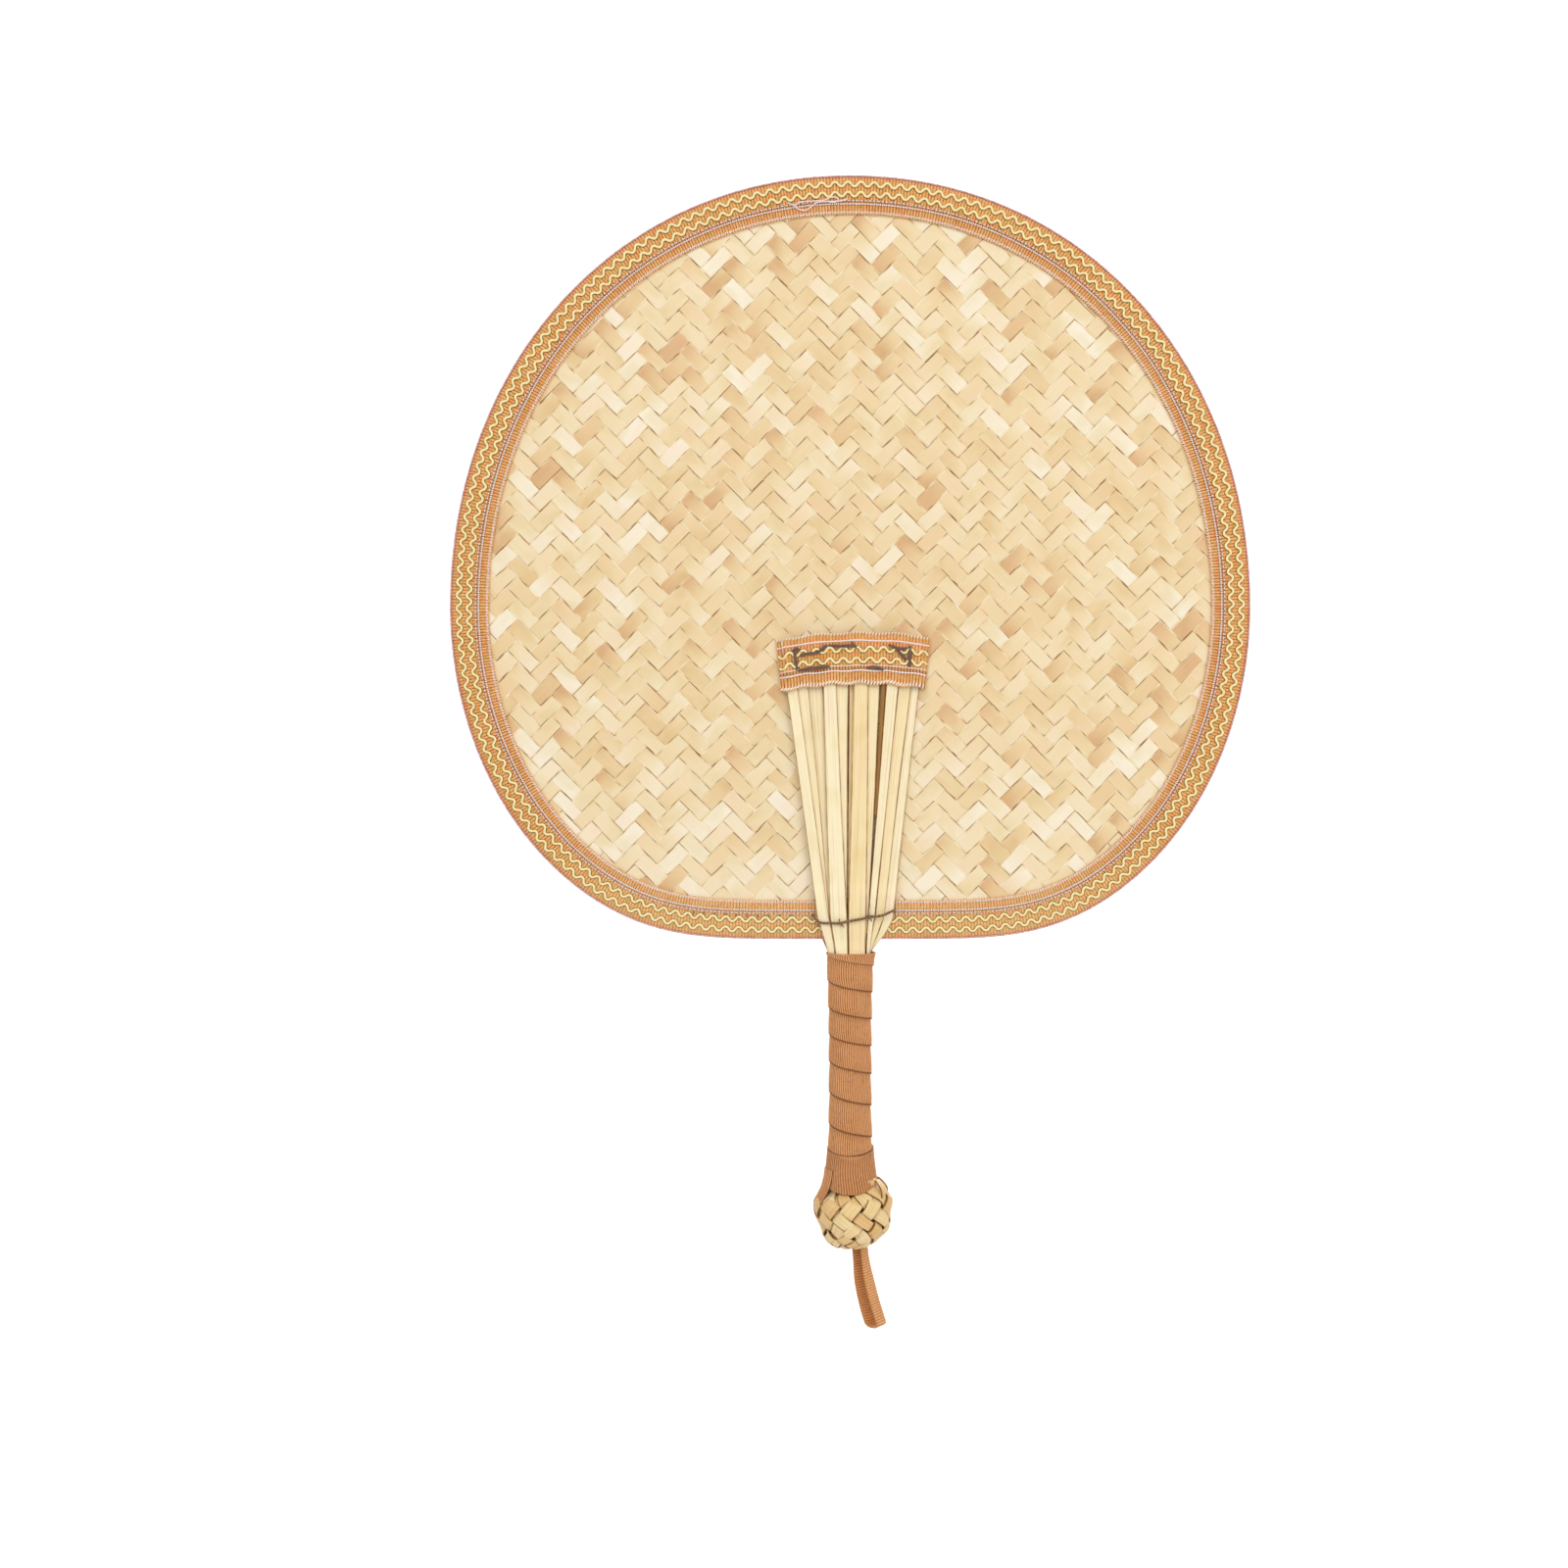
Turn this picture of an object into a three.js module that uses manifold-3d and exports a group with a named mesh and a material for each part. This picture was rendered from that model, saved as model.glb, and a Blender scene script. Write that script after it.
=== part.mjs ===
// Woven straw hand fan: a twill-woven blade with a folded ribbon binding, flat straw splints that
// spread over both faces, run down through a ribbon-wrapped grip, a plaited straw knob and a hanging loop.
// Millimetres, +Z up along the handle, the front face towards -Y, the origin in the middle of the grip.

import * as THREE from 'three';
import Module from 'manifold-3d';

const wasm = await Module();
wasm.setup();

// Clearances
const CLEARANCE = 0.3;
const SIDE_GAP = 0.25;

// Grip: a ribbon wound in a left-handed helix over the bundle of splints
const GRIP_LENGTH = 74;
const WAIST_RADIUS = 6.6;
const END_FLARE = 1.0;
const FLARE_POWER = 3;
const WRAP_THICKNESS = 0.6;
const WRAP_PITCH = 8.4;
const WRAP_SLIT = 0.5;
const WRAP_START = 0.5;
const BUNDLE_GAP = 0.4;

// Blade: a rounded outline, drawn in a little and squarer at the bottom
const BLADE_HALF_WIDTH = 125.3;
const BLADE_RISE = 135.3;
const BLADE_DROP = 103.8;
const TOP_FULLNESS = 2.07;
const BOTTOM_FULLNESS = 5.4;
const BOTTOM_TAPER = 0.35;
const BLADE_FOOT = 4.3;
const PANEL_THICKNESS = 1.0;

// Trim ribbon, folded over the rim and used again for the cross bands
const TRIM_THICKNESS = 0.6;
const BINDING_WIDTH = 12;
const BAND_HEIGHT = 16;
const BAND_ABOVE_GRIP = 91.5;
const BAND_HEM = 2.6;
const BAND_SLOPE = 0.8;

// Splints: flat straw strips in two layers on each face
const SPLINTS_PER_FACE = 12;
const REED_SLOT = 9;
const SPLINT_WIDTH = 3.2;
const SPLINT_THICKNESS = 0.7;
const SPLAY_GAP = 0.22;
const TIE_GAP = 0.75;
const SPLINT_TUCK = 2;
const CLIMB_START = 6;
const CLIMB_END = 1;
const SQUEEZED_ABOVE_GRIP = 1;
const ROUND_BELOW_GRIP_TOP = 3;
const REED_DIAMETER = 1.4;
const REED_BELOW_BAND = 38;

// Tie: one turn of twine through the blade, round the splints
const TWINE_DIAMETER = 0.9;
const TIE_ABOVE_RIM = 6.8;
const TIE_STRAND_GAP = 0.5;
const TIE_OVERLAP = 8;

// Knob: a ball of two crossing families of straw strips over a core
const KNOB_RADIUS = 11.5;
const KNOB_MOUTH_RADIUS = 4.7;
const PLAIT_STRIPS = 10;
const PLAIT_ROWS = 7;
const PLAIT_THICKNESS = 0.6;
const PLAIT_GAP = 0.35;
const PLAIT_COVER = 0.8;
const TAIL_WIDTH = 8;
const TAIL_LENGTH = 7.5;
const TAIL_BEARING = THREE.MathUtils.degToRad(195);

// Hanging loop: a folded ribbon that hinges just below the knob
const LOOP_LENGTH = 23;
const LOOP_WIDTH = 5;
const LOOP_THICKNESS = 0.8;
const LOOP_NECK_GAP = 0.5;
const LOOP_EYE = 3.6;
const LOOP_BELOW_KNOB = 0.9;
const LOOP_ASIDE = 1.7;
const LOOP_LEAN = THREE.MathUtils.degToRad(-12);
const LOOP_TURN = THREE.MathUtils.degToRad(-40);
const ANCHOR_LENGTH = 7;

// Levels that follow from the sizes above
const GRIP_TOP = GRIP_LENGTH / 2;
const GRIP_BOTTOM = -GRIP_LENGTH / 2;
const RIM_BOTTOM = GRIP_TOP + BLADE_FOOT;
const WIDEST_LEVEL = RIM_BOTTOM + BLADE_DROP;
const BINDING_TOP = RIM_BOTTOM + BINDING_WIDTH;
const BAND_LEVEL = GRIP_TOP + BAND_ABOVE_GRIP;
const BAND_BOTTOM = BAND_LEVEL - BAND_HEIGHT / 2;
const SPLINT_TOP = BAND_LEVEL + BAND_HEIGHT / 2 - SPLINT_TUCK;
const TIE_LEVEL = RIM_BOTTOM + TIE_ABOVE_RIM;

// Depths from the middle plane of the blade
const PANEL_FACE = PANEL_THICKNESS / 2;
const LAYER_STEP = SPLINT_THICKNESS + CLEARANCE;
const BINDING_INSIDE = PANEL_FACE + CLEARANCE;
const BINDING_FACE = BINDING_INSIDE + TRIM_THICKNESS;
const SPLINT_FACE_ON_PANEL = PANEL_FACE + CLEARANCE + LAYER_STEP + SPLINT_THICKNESS;
const SPLINT_FACE_ON_RIM = BINDING_FACE + CLEARANCE + LAYER_STEP + SPLINT_THICKNESS;

// Steps of the curves, and the stations down the grip as shares of half its length
const RIM_STEPS = 96;
const GRIP_STATIONS = [0.5, 0, -0.5, -0.8, -1];
const TWINE_SIDES = 6;

const fan = new THREE.Group();

function straw(color) {
  return new THREE.MeshStandardMaterial({ color, roughness: 0.5, metalness: 0 });
}

function cloth(color) {
  return new THREE.MeshStandardMaterial({ color, roughness: 0.8, metalness: 0 });
}

const WOVEN_STRAW = straw('#ead6a8');
const SPLIT_STRAW = straw('#efdcae');
const REED_BROWN = straw('#8a5a2c');
const PLAITED_STRAW = straw('#e6ca94');
const TRIM_RIBBON = cloth('#d39a5e');
const GROSGRAIN = cloth('#bf8350');
const TWINE = cloth('#8a7050');

function addPiece(name, geometry, material, parent = fan) {
  const piece = new THREE.Mesh(geometry, material);
  piece.name = name;
  parent.add(piece);
  return piece;
}

function smooth(value) {
  return THREE.MathUtils.smoothstep(value, 0, 1);
}

// Solids from rings of points

function signedVolume(points, triangles) {
  let volume = 0;
  for (const [a, b, c] of triangles) {
    volume += points[a].dot(points[b].clone().cross(points[c])) / 6;
  }
  return volume;
}

function solid(points, triangles) {
  const outward = signedVolume(points, triangles) > 0;
  const index = triangles.flatMap(([a, b, c]) => (outward ? [a, b, c] : [a, c, b]));
  const geometry = new THREE.BufferGeometry().setFromPoints(points);
  geometry.setIndex(index);
  geometry.computeVertexNormals();
  return geometry;
}

// Skin over rings that all have the same number of points; an open loft gets a cap at each end.
function loft(rings, closed = false) {
  const sides = rings[0].length;
  const triangles = [];
  const spans = closed ? rings.length : rings.length - 1;
  for (let i = 0; i < spans; i++) {
    const here = i * sides;
    const next = ((i + 1) % rings.length) * sides;
    for (let k = 0; k < sides; k++) {
      const k2 = (k + 1) % sides;
      triangles.push([here + k, here + k2, next + k2], [here + k, next + k2, next + k]);
    }
  }
  if (!closed) {
    const last = (rings.length - 1) * sides;
    for (let k = 1; k < sides - 1; k++) {
      triangles.push([0, k + 1, k], [last, last + k, last + k + 1]);
    }
  }
  return solid(rings.flat(), triangles);
}

// Joins and cuts

function toManifold(geometry) {
  const points = geometry.getAttribute('position');
  const corners = new Map();
  const vertices = [];
  const place = (i) => {
    const corner = [points.getX(i), points.getY(i), points.getZ(i)];
    const key = corner.map((value) => Math.round(value * 1e4)).join(' ');
    if (!corners.has(key)) {
      corners.set(key, vertices.length / 3);
      vertices.push(...corner);
    }
    return corners.get(key);
  };
  const count = geometry.index ? geometry.index.count : points.count;
  const triangles = [];
  for (let i = 0; i < count; i += 3) {
    const [a, b, c] = [i, i + 1, i + 2].map((k) => place(geometry.index ? geometry.index.getX(k) : k));
    if (a !== b && b !== c && c !== a) {
      triangles.push(a, b, c);
    }
  }
  return new wasm.Manifold(new wasm.Mesh({
    numProp: 3,
    vertProperties: new Float32Array(vertices),
    triVerts: new Uint32Array(triangles),
  }));
}

function cut(geometry, cutters) {
  let body = toManifold(geometry);
  for (const cutter of cutters) {
    body = body.subtract(toManifold(cutter));
  }
  const mesh = body.getMesh();
  const result = new THREE.BufferGeometry();
  result.setAttribute('position', new THREE.BufferAttribute(mesh.vertProperties, mesh.numProp));
  result.setIndex(new THREE.BufferAttribute(mesh.triVerts, 1));
  result.computeVertexNormals();
  return result;
}

// Blade: rim outline, woven panel and folded binding

class RimCurve extends THREE.Curve {
  getPoint(t, target = new THREE.Vector2()) {
    const c = Math.cos(2 * Math.PI * t);
    const s = Math.sin(2 * Math.PI * t);
    const fullness = s >= 0 ? TOP_FULLNESS : BOTTOM_FULLNESS;
    const radial = (Math.abs(c) ** fullness + Math.abs(s) ** fullness) ** (-1 / fullness);
    const rise = radial * s;
    const taper = s >= 0 ? 1 : 1 - BOTTOM_TAPER * rise ** 2;
    const reach = s >= 0 ? BLADE_RISE : BLADE_DROP;
    return target.set(BLADE_HALF_WIDTH * taper * radial * c, WIDEST_LEVEL + reach * rise);
  }
}

const rim = new RimCurve().getSpacedPoints(RIM_STEPS).slice(0, RIM_STEPS);

function inwardNormal(i) {
  const before = rim[(i + RIM_STEPS - 1) % RIM_STEPS];
  const after = rim[(i + 1) % RIM_STEPS];
  const along = after.clone().sub(before).normalize();
  return new THREE.Vector2(-along.y, along.x);
}

function insetRim(inset) {
  return rim.map((point, i) => point.clone().addScaledVector(inwardNormal(i), inset));
}

// Tie route, settled first because the twine passes through holes in the blade

const pitchAtBand = SPLINT_WIDTH + SPLAY_GAP;
const pitchAtTie = (SPLINT_WIDTH + TIE_GAP) / 2;
const tieHalfWidth = ((SPLINTS_PER_FACE - 1) * pitchAtTie + SPLINT_WIDTH) / 2;
const tieCorner = TWINE_DIAMETER / 2 + CLEARANCE;
const tieStep = TWINE_DIAMETER + TIE_STRAND_GAP;

function tieRoute() {
  const side = tieHalfWidth;
  const face = SPLINT_FACE_ON_RIM;
  const route = [[-TIE_OVERLAP / 2, -face - tieCorner], [0, -face - tieCorner]];
  const corners = [[side, -face, -90], [side, face, 0], [-side, face, 90], [-side, -face, 180]];
  for (const [x, y, start] of corners) {
    for (let step = 0; step <= 3; step++) {
      const angle = THREE.MathUtils.degToRad(start + 30 * step);
      route.push([x + tieCorner * Math.cos(angle), y + tieCorner * Math.sin(angle)]);
    }
  }
  route.push([0, -face - tieCorner], [TIE_OVERLAP / 2, -face - tieCorner]);
  let run = 0;
  const runs = route.map(([x, y], i) => {
    run += i === 0 ? 0 : Math.hypot(x - route[i - 1][0], y - route[i - 1][1]);
    return run;
  });
  return route.map(([x, y], i) => new THREE.Vector3(x, y, TIE_LEVEL + tieStep * (0.5 - runs[i] / run)));
}

const tiePoints = tieRoute();

function tieHoles() {
  const holes = [];
  for (let i = 1; i < tiePoints.length; i++) {
    const from = tiePoints[i - 1];
    const to = tiePoints[i];
    if (from.y * to.y < 0) {
      const share = from.y / (from.y - to.y);
      holes.push(from.clone().lerp(to, share));
    }
  }
  return holes;
}

function tieHoleCutter(hole) {
  const radius = TWINE_DIAMETER / 2 + CLEARANCE;
  const cutter = new THREE.CylinderGeometry(radius, radius, 4 * BINDING_FACE, 10);
  cutter.deleteAttribute('normal');
  cutter.deleteAttribute('uv');
  return cutter.translate(hole.x, 0, hole.z);
}

function wovenPanel() {
  const outline = new THREE.Shape(insetRim(TRIM_THICKNESS + CLEARANCE));
  const panel = new THREE.ExtrudeGeometry(outline, { depth: PANEL_THICKNESS, bevelEnabled: false, steps: 1 });
  panel.rotateX(Math.PI / 2);
  panel.translate(0, PANEL_FACE, 0);
  return cut(panel, tieHoles().map(tieHoleCutter));
}

// The ribbon's section: two flat leaves joined by a rounded fold at the rim.
function rimBinding() {
  const fold = [[BINDING_FACE, BINDING_FACE], [BINDING_FACE * 0.3, BINDING_FACE * 0.7]];
  const leaf = [[BINDING_WIDTH, BINDING_FACE], ...fold];
  const lining = [[TRIM_THICKNESS, BINDING_INSIDE], [BINDING_WIDTH, BINDING_INSIDE]];
  const opposite = (points) => points.toReversed().map(([depth, y]) => [depth, -y]);
  const section = [...leaf, [0, 0], ...opposite(leaf), ...opposite(lining), ...lining];
  const rings = rim.map((point, i) => {
    const normal = inwardNormal(i);
    return section.map(([depth, y]) => {
      const at = point.clone().addScaledVector(normal, depth);
      return new THREE.Vector3(at.x, y, at.y);
    });
  });
  return cut(loft(rings, true), tieHoles().map(tieHoleCutter));
}

addPiece('woven_panel', wovenPanel(), WOVEN_STRAW);
addPiece('rim_binding', rimBinding(), TRIM_RIBBON);

// Grip profile

function wrapRadius(z) {
  return WAIST_RADIUS + END_FLARE * Math.abs(z / GRIP_TOP) ** FLARE_POWER;
}

function bundleRadius(z) {
  const level = THREE.MathUtils.clamp(z, GRIP_BOTTOM, GRIP_TOP);
  return wrapRadius(level) - WRAP_THICKNESS - BUNDLE_GAP;
}

// Splints: flat and layered on the blade, drawn together below it into two round layers inside the grip

const squeezeStart = TIE_LEVEL - tieStep;
const squeezeEnd = GRIP_TOP + SQUEEZED_ABOVE_GRIP;
const closeStart = RIM_BOTTOM - CLEARANCE;
const closeEnd = GRIP_TOP - ROUND_BELOW_GRIP_TOP;

function splintPitch(z) {
  const share = THREE.MathUtils.clamp((z - TIE_LEVEL) / (BAND_BOTTOM - TIE_LEVEL), 0, 1);
  return THREE.MathUtils.lerp(pitchAtTie, pitchAtBand, share);
}

function slotCentre(slot, z) {
  return (slot - (SPLINTS_PER_FACE - 1) / 2) * splintPitch(z);
}

function isOuterSlot(slot) {
  return slot % 2 === 0;
}

function flatCorners(slot, z) {
  const onRim = smooth((BINDING_TOP + CLIMB_START - z) / (CLIMB_START - CLIMB_END));
  const seat = THREE.MathUtils.lerp(PANEL_FACE, BINDING_FACE, onRim) + CLEARANCE;
  const under = seat + (isOuterSlot(slot) ? LAYER_STEP : 0);
  const middle = slotCentre(slot, z);
  const left = middle - SPLINT_WIDTH / 2;
  const right = middle + SPLINT_WIDTH / 2;
  const over = under + SPLINT_THICKNESS;
  return [[left, under], [right, under], [right, over], [left, over]];
}

function roundCorners(slot, z) {
  const sector = Math.PI / (SPLINTS_PER_FACE / 2);
  const over = bundleRadius(z) - (isOuterSlot(slot) ? 0 : LAYER_STEP);
  const under = over - SPLINT_THICKNESS;
  const from = Math.floor(slot / 2) * sector;
  const corner = (radius, edge) => {
    const inset = SIDE_GAP / 2 / radius;
    const angle = from + (edge === 0 ? inset : sector - inset);
    return [-radius * Math.cos(angle), radius * Math.sin(angle)];
  };
  return [corner(under, 0), corner(under, 1), corner(over, 1), corner(over, 0)];
}

function splintRing(slot, z, face) {
  const across = THREE.MathUtils.clamp((squeezeStart - z) / (squeezeStart - squeezeEnd), 0, 1);
  const inward = smooth((closeStart - z) / (closeStart - closeEnd));
  const flat = flatCorners(slot, z);
  const round = roundCorners(slot, z);
  return flat.map(([x, depth], i) => new THREE.Vector3(
    THREE.MathUtils.lerp(x, round[i][0], across),
    face * THREE.MathUtils.lerp(depth, round[i][1], inward),
    z,
  ));
}

function splintLevels() {
  const climb = [CLIMB_START, (CLIMB_START + CLIMB_END) / 2, CLIMB_END];
  const levels = [SPLINT_TOP, BAND_BOTTOM, ...climb.map((above) => BINDING_TOP + above)];
  const squeezeSteps = 8;
  for (let step = 0; step <= squeezeSteps; step++) {
    levels.push(THREE.MathUtils.lerp(squeezeStart, closeEnd, step / squeezeSteps));
  }
  levels.push(...GRIP_STATIONS.map((share) => share * GRIP_TOP));
  return levels;
}

function splint(slot, face) {
  return loft(splintLevels().map((z) => splintRing(slot, z, face)));
}

function addSplints(prefix, face, isSplint) {
  let number = 0;
  for (let slot = 0; slot < SPLINTS_PER_FACE; slot++) {
    if (isSplint(slot)) {
      number += 1;
      addPiece(`${prefix}_${String(number).padStart(2, '0')}`, splint(slot, face), SPLIT_STRAW);
    }
  }
}

addSplints('front_splint', -1, (slot) => slot !== REED_SLOT);
addSplints('back_splint', 1, () => true);

// A thin reed lies in the gap that one front splint leaves, from under the band part of the way down.
function coreReed() {
  const radius = REED_DIAMETER / 2;
  const depth = -(PANEL_FACE + CLEARANCE + radius);
  const ring = (z) => Array.from({ length: 8 }, (_, k) => {
    const angle = (k + 0.5) * Math.PI / 4;
    const x = slotCentre(REED_SLOT, z) + radius * Math.cos(angle);
    return new THREE.Vector3(x, depth + radius * Math.sin(angle), z);
  });
  return loft([ring(SPLINT_TOP), ring(BAND_BOTTOM), ring(BAND_BOTTOM - REED_BELOW_BAND)]);
}

addPiece('core_reed', coreReed(), REED_BROWN);

// The stick in the middle of the bundle fills the grip out to the inner layer of splints.
function handleCore() {
  const radiusAt = (z) => {
    const innerFace = bundleRadius(z) - LAYER_STEP - SPLINT_THICKNESS;
    return innerFace * Math.cos(Math.PI / SPLINTS_PER_FACE) - CLEARANCE;
  };
  const top = closeEnd - CLEARANCE;
  const levels = [...GRIP_STATIONS.map((share) => share * GRIP_TOP).reverse(), top];
  const profile = levels.map((z) => new THREE.Vector2(radiusAt(z), z));
  profile.unshift(new THREE.Vector2(0, GRIP_BOTTOM));
  profile.push(new THREE.Vector2(0, top));
  const stick = new THREE.LatheGeometry(profile, 16);
  return stick.rotateX(Math.PI / 2);
}

addPiece('handle_core', handleCore(), REED_BROWN);

// Cross bands: the trim ribbon sewn over the top of the splints on each face

function crossBand(face) {
  const crest = ((SPLINTS_PER_FACE - 1) * pitchAtBand + SPLINT_WIDTH) / 2 + BAND_SLOPE;
  const low = PANEL_FACE + CLEARANCE;
  const high = SPLINT_FACE_ON_PANEL + CLEARANCE;
  const half = crest + BAND_SLOPE + BAND_HEM;
  const run = [[-half, low], [-crest - BAND_SLOPE, low], [-crest, high]];
  run.push([crest, high], [crest + BAND_SLOPE, low], [half, low]);
  const ring = (z) => [
    ...run.map(([x, depth]) => new THREE.Vector3(x, face * depth, z)),
    ...run.toReversed().map(([x, depth]) => new THREE.Vector3(x, face * (depth + TRIM_THICKNESS), z)),
  ];
  return strip(ring(BAND_BOTTOM), ring(BAND_BOTTOM + BAND_HEIGHT));
}

// A bent strip: the two end outlines are filled as quads between their near and far edges.
function strip(lower, upper) {
  const count = lower.length;
  const triangles = [];
  for (let k = 0; k < count; k++) {
    const k2 = (k + 1) % count;
    triangles.push([k, k2, count + k2], [k, count + k2, count + k]);
  }
  for (let k = 0; k < count / 2 - 1; k++) {
    const far = count - 1 - k;
    triangles.push([k, far, k + 1], [far, far - 1, k + 1]);
    triangles.push([count + k, count + k + 1, count + far], [count + far, count + k + 1, count + far - 1]);
  }
  return solid([...lower, ...upper], triangles);
}

addPiece('cross_band_front', crossBand(-1), TRIM_RIBBON);
addPiece('cross_band_back', crossBand(1), TRIM_RIBBON);

// Twine tie: one unbroken tube whose ends lie side by side on the front

function tube(points, radius, sides) {
  const rings = points.map((point, i) => {
    const before = points[Math.max(i - 1, 0)];
    const after = points[Math.min(i + 1, points.length - 1)];
    const along = after.clone().sub(before).normalize();
    const outward = along.clone().cross(new THREE.Vector3(0, 0, 1)).normalize();
    const upward = outward.clone().cross(along);
    return Array.from({ length: sides }, (_, k) => {
      const angle = (2 * Math.PI * k) / sides;
      return point.clone()
        .addScaledVector(outward, radius * Math.cos(angle))
        .addScaledVector(upward, radius * Math.sin(angle));
    });
  });
  return loft(rings);
}

addPiece('tie_cord', tube(tiePoints, TWINE_DIAMETER / 2, TWINE_SIDES), TWINE);

// Grip wrap: the ribbon fills the grip from end to end, parted only by the helical slit between its turns

const WRAP_STEPS = 24;
const WRAP_END_TURN = 0.15;

function gripWrap() {
  const turns = GRIP_LENGTH / WRAP_PITCH + 1;
  const count = Math.round((turns - 2 * WRAP_END_TURN) * WRAP_STEPS);
  const rings = [];
  for (let i = 0; i <= count; i++) {
    const turn = WRAP_END_TURN + i / WRAP_STEPS;
    const upper = GRIP_TOP - WRAP_PITCH * Math.max(0, turn - 1);
    const lower = Math.max(GRIP_BOTTOM, GRIP_TOP - WRAP_PITCH * turn + WRAP_SLIT);
    const angle = 2 * Math.PI * (turn + WRAP_START);
    const corner = (z, depth) => {
      const radius = wrapRadius(z) - depth;
      return new THREE.Vector3(radius * Math.cos(angle), radius * Math.sin(angle), z);
    };
    const outer = [corner(upper, 0), corner(lower, 0)];
    const inner = [corner(upper, WRAP_THICKNESS), corner(lower, WRAP_THICKNESS)];
    rings.push([outer[0], inner[0], inner[1], outer[1]]);
  }
  return rings;
}

function leastGap(rings, apart) {
  let least = Infinity;
  for (let i = 0; i < rings.length; i++) {
    for (let j = i + apart; j < rings.length; j++) {
      for (const p of rings[i]) {
        for (const q of rings[j]) {
          least = Math.min(least, p.distanceTo(q));
        }
      }
    }
  }
  return least;
}

const wrapRings = gripWrap();
addPiece('grip_wrap', loft(wrapRings), GROSGRAIN);
console.log('grip wrap, least gap between turns, mm:', leastGap(wrapRings, WRAP_STEPS / 2).toFixed(2));

// Knob: strips at 45 degrees on the ball, laid out on a Mercator net where their crossings are squares

const rowStep = Math.PI / PLAIT_STRIPS;
const halfCell = (PLAIT_COVER * rowStep) / 2;
const mouthPolar = Math.PI - Math.asin(KNOB_MOUTH_RADIUS / KNOB_RADIUS);
const lastRow = Math.log(Math.tan(mouthPolar / 2)) - 2 * halfCell;
const firstRow = lastRow - (PLAIT_ROWS - 1) * rowStep;
const topPolar = 2 * Math.atan(Math.exp(firstRow - 2 * halfCell));
const knobLevel = GRIP_BOTTOM - CLEARANCE - KNOB_RADIUS * Math.cos(topPolar);
const plaitStep = PLAIT_THICKNESS + PLAIT_GAP;

function onKnob(turn, latitude, radius) {
  const polar = 2 * Math.atan(Math.exp(latitude));
  return new THREE.Vector3(
    radius * Math.sin(polar) * Math.cos(turn),
    radius * Math.sin(polar) * Math.sin(turn),
    knobLevel + radius * Math.cos(polar),
  );
}

function plaitStrip(start, hand) {
  const rings = [];
  for (let row = 0; row < PLAIT_ROWS; row++) {
    const over = (row % 2 === 0) === (hand > 0);
    const outer = KNOB_RADIUS - (over ? 0 : plaitStep);
    const inner = outer - PLAIT_THICKNESS;
    for (const side of [-1, 1]) {
      const latitude = firstRow + row * rowStep + side * halfCell;
      const turn = start + hand * latitude;
      const edge = (way, radius) => onKnob(turn + way * hand * halfCell, latitude - way * halfCell, radius);
      rings.push([edge(1, inner), edge(-1, inner), edge(-1, outer), edge(1, outer)]);
    }
  }
  return loft(rings);
}

function addPlait(prefix, hand, offset) {
  for (let i = 0; i < PLAIT_STRIPS; i++) {
    const name = `${prefix}_${String(i + 1).padStart(2, '0')}`;
    addPiece(name, plaitStrip(offset + i * 2 * rowStep, hand), PLAITED_STRAW);
  }
}

addPlait('knob_strip_right', 1, 0);
addPlait('knob_strip_left', -1, 2 * firstRow);

// Loop frame: the hinge line lies just below the knob, along the ribbon's width

const loopLean = new THREE.Group();
loopLean.position.set(LOOP_ASIDE, 0, knobLevel - KNOB_RADIUS - LOOP_BELOW_KNOB);
loopLean.rotation.y = LOOP_LEAN;
const loopFrame = new THREE.Group();
loopFrame.rotation.z = LOOP_TURN;
loopLean.add(loopFrame);
fan.add(loopLean);
loopLean.updateMatrixWorld(true);

const neckHalf = LOOP_THICKNESS + LOOP_NECK_GAP / 2;
const anchorFoot = neckHalf + CLEARANCE;

// The two ribbon tails above the hinge, pressed together and tucked into the core of the knob
function loopAnchor(extra = 0) {
  const width = LOOP_WIDTH + 2 * extra;
  const depth = 2 * (neckHalf + extra);
  const anchor = new THREE.BoxGeometry(depth, width, ANCHOR_LENGTH + extra);
  return anchor.translate(0, 0, anchorFoot + (ANCHOR_LENGTH + extra) / 2);
}

function knobCore() {
  const innerFace = KNOB_RADIUS - plaitStep - PLAIT_THICKNESS;
  const radius = innerFace * Math.cos(2 * halfCell) - CLEARANCE;
  const top = GRIP_BOTTOM - CLEARANCE;
  const topAngle = Math.acos((top - knobLevel) / radius);
  const profile = [];
  const steps = 10;
  for (let step = 0; step <= steps; step++) {
    const polar = THREE.MathUtils.lerp(Math.PI, topAngle, step / steps);
    const out = step === 0 ? 0 : radius * Math.sin(polar);
    profile.push(new THREE.Vector2(out, knobLevel + radius * Math.cos(polar)));
  }
  profile.push(new THREE.Vector2(0, top));
  const ball = new THREE.LatheGeometry(profile, 20).rotateX(Math.PI / 2);
  const slot = loopAnchor(CLEARANCE).applyMatrix4(loopFrame.matrixWorld);
  return cut(ball, [slot]);
}

addPiece('knob_core', knobCore(), REED_BROWN);
addPiece('loop_anchor', loopAnchor(), GROSGRAIN, loopFrame);

// Hanging loop: a hairpin of ribbon, narrow at the hinge and open at the eye

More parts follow.
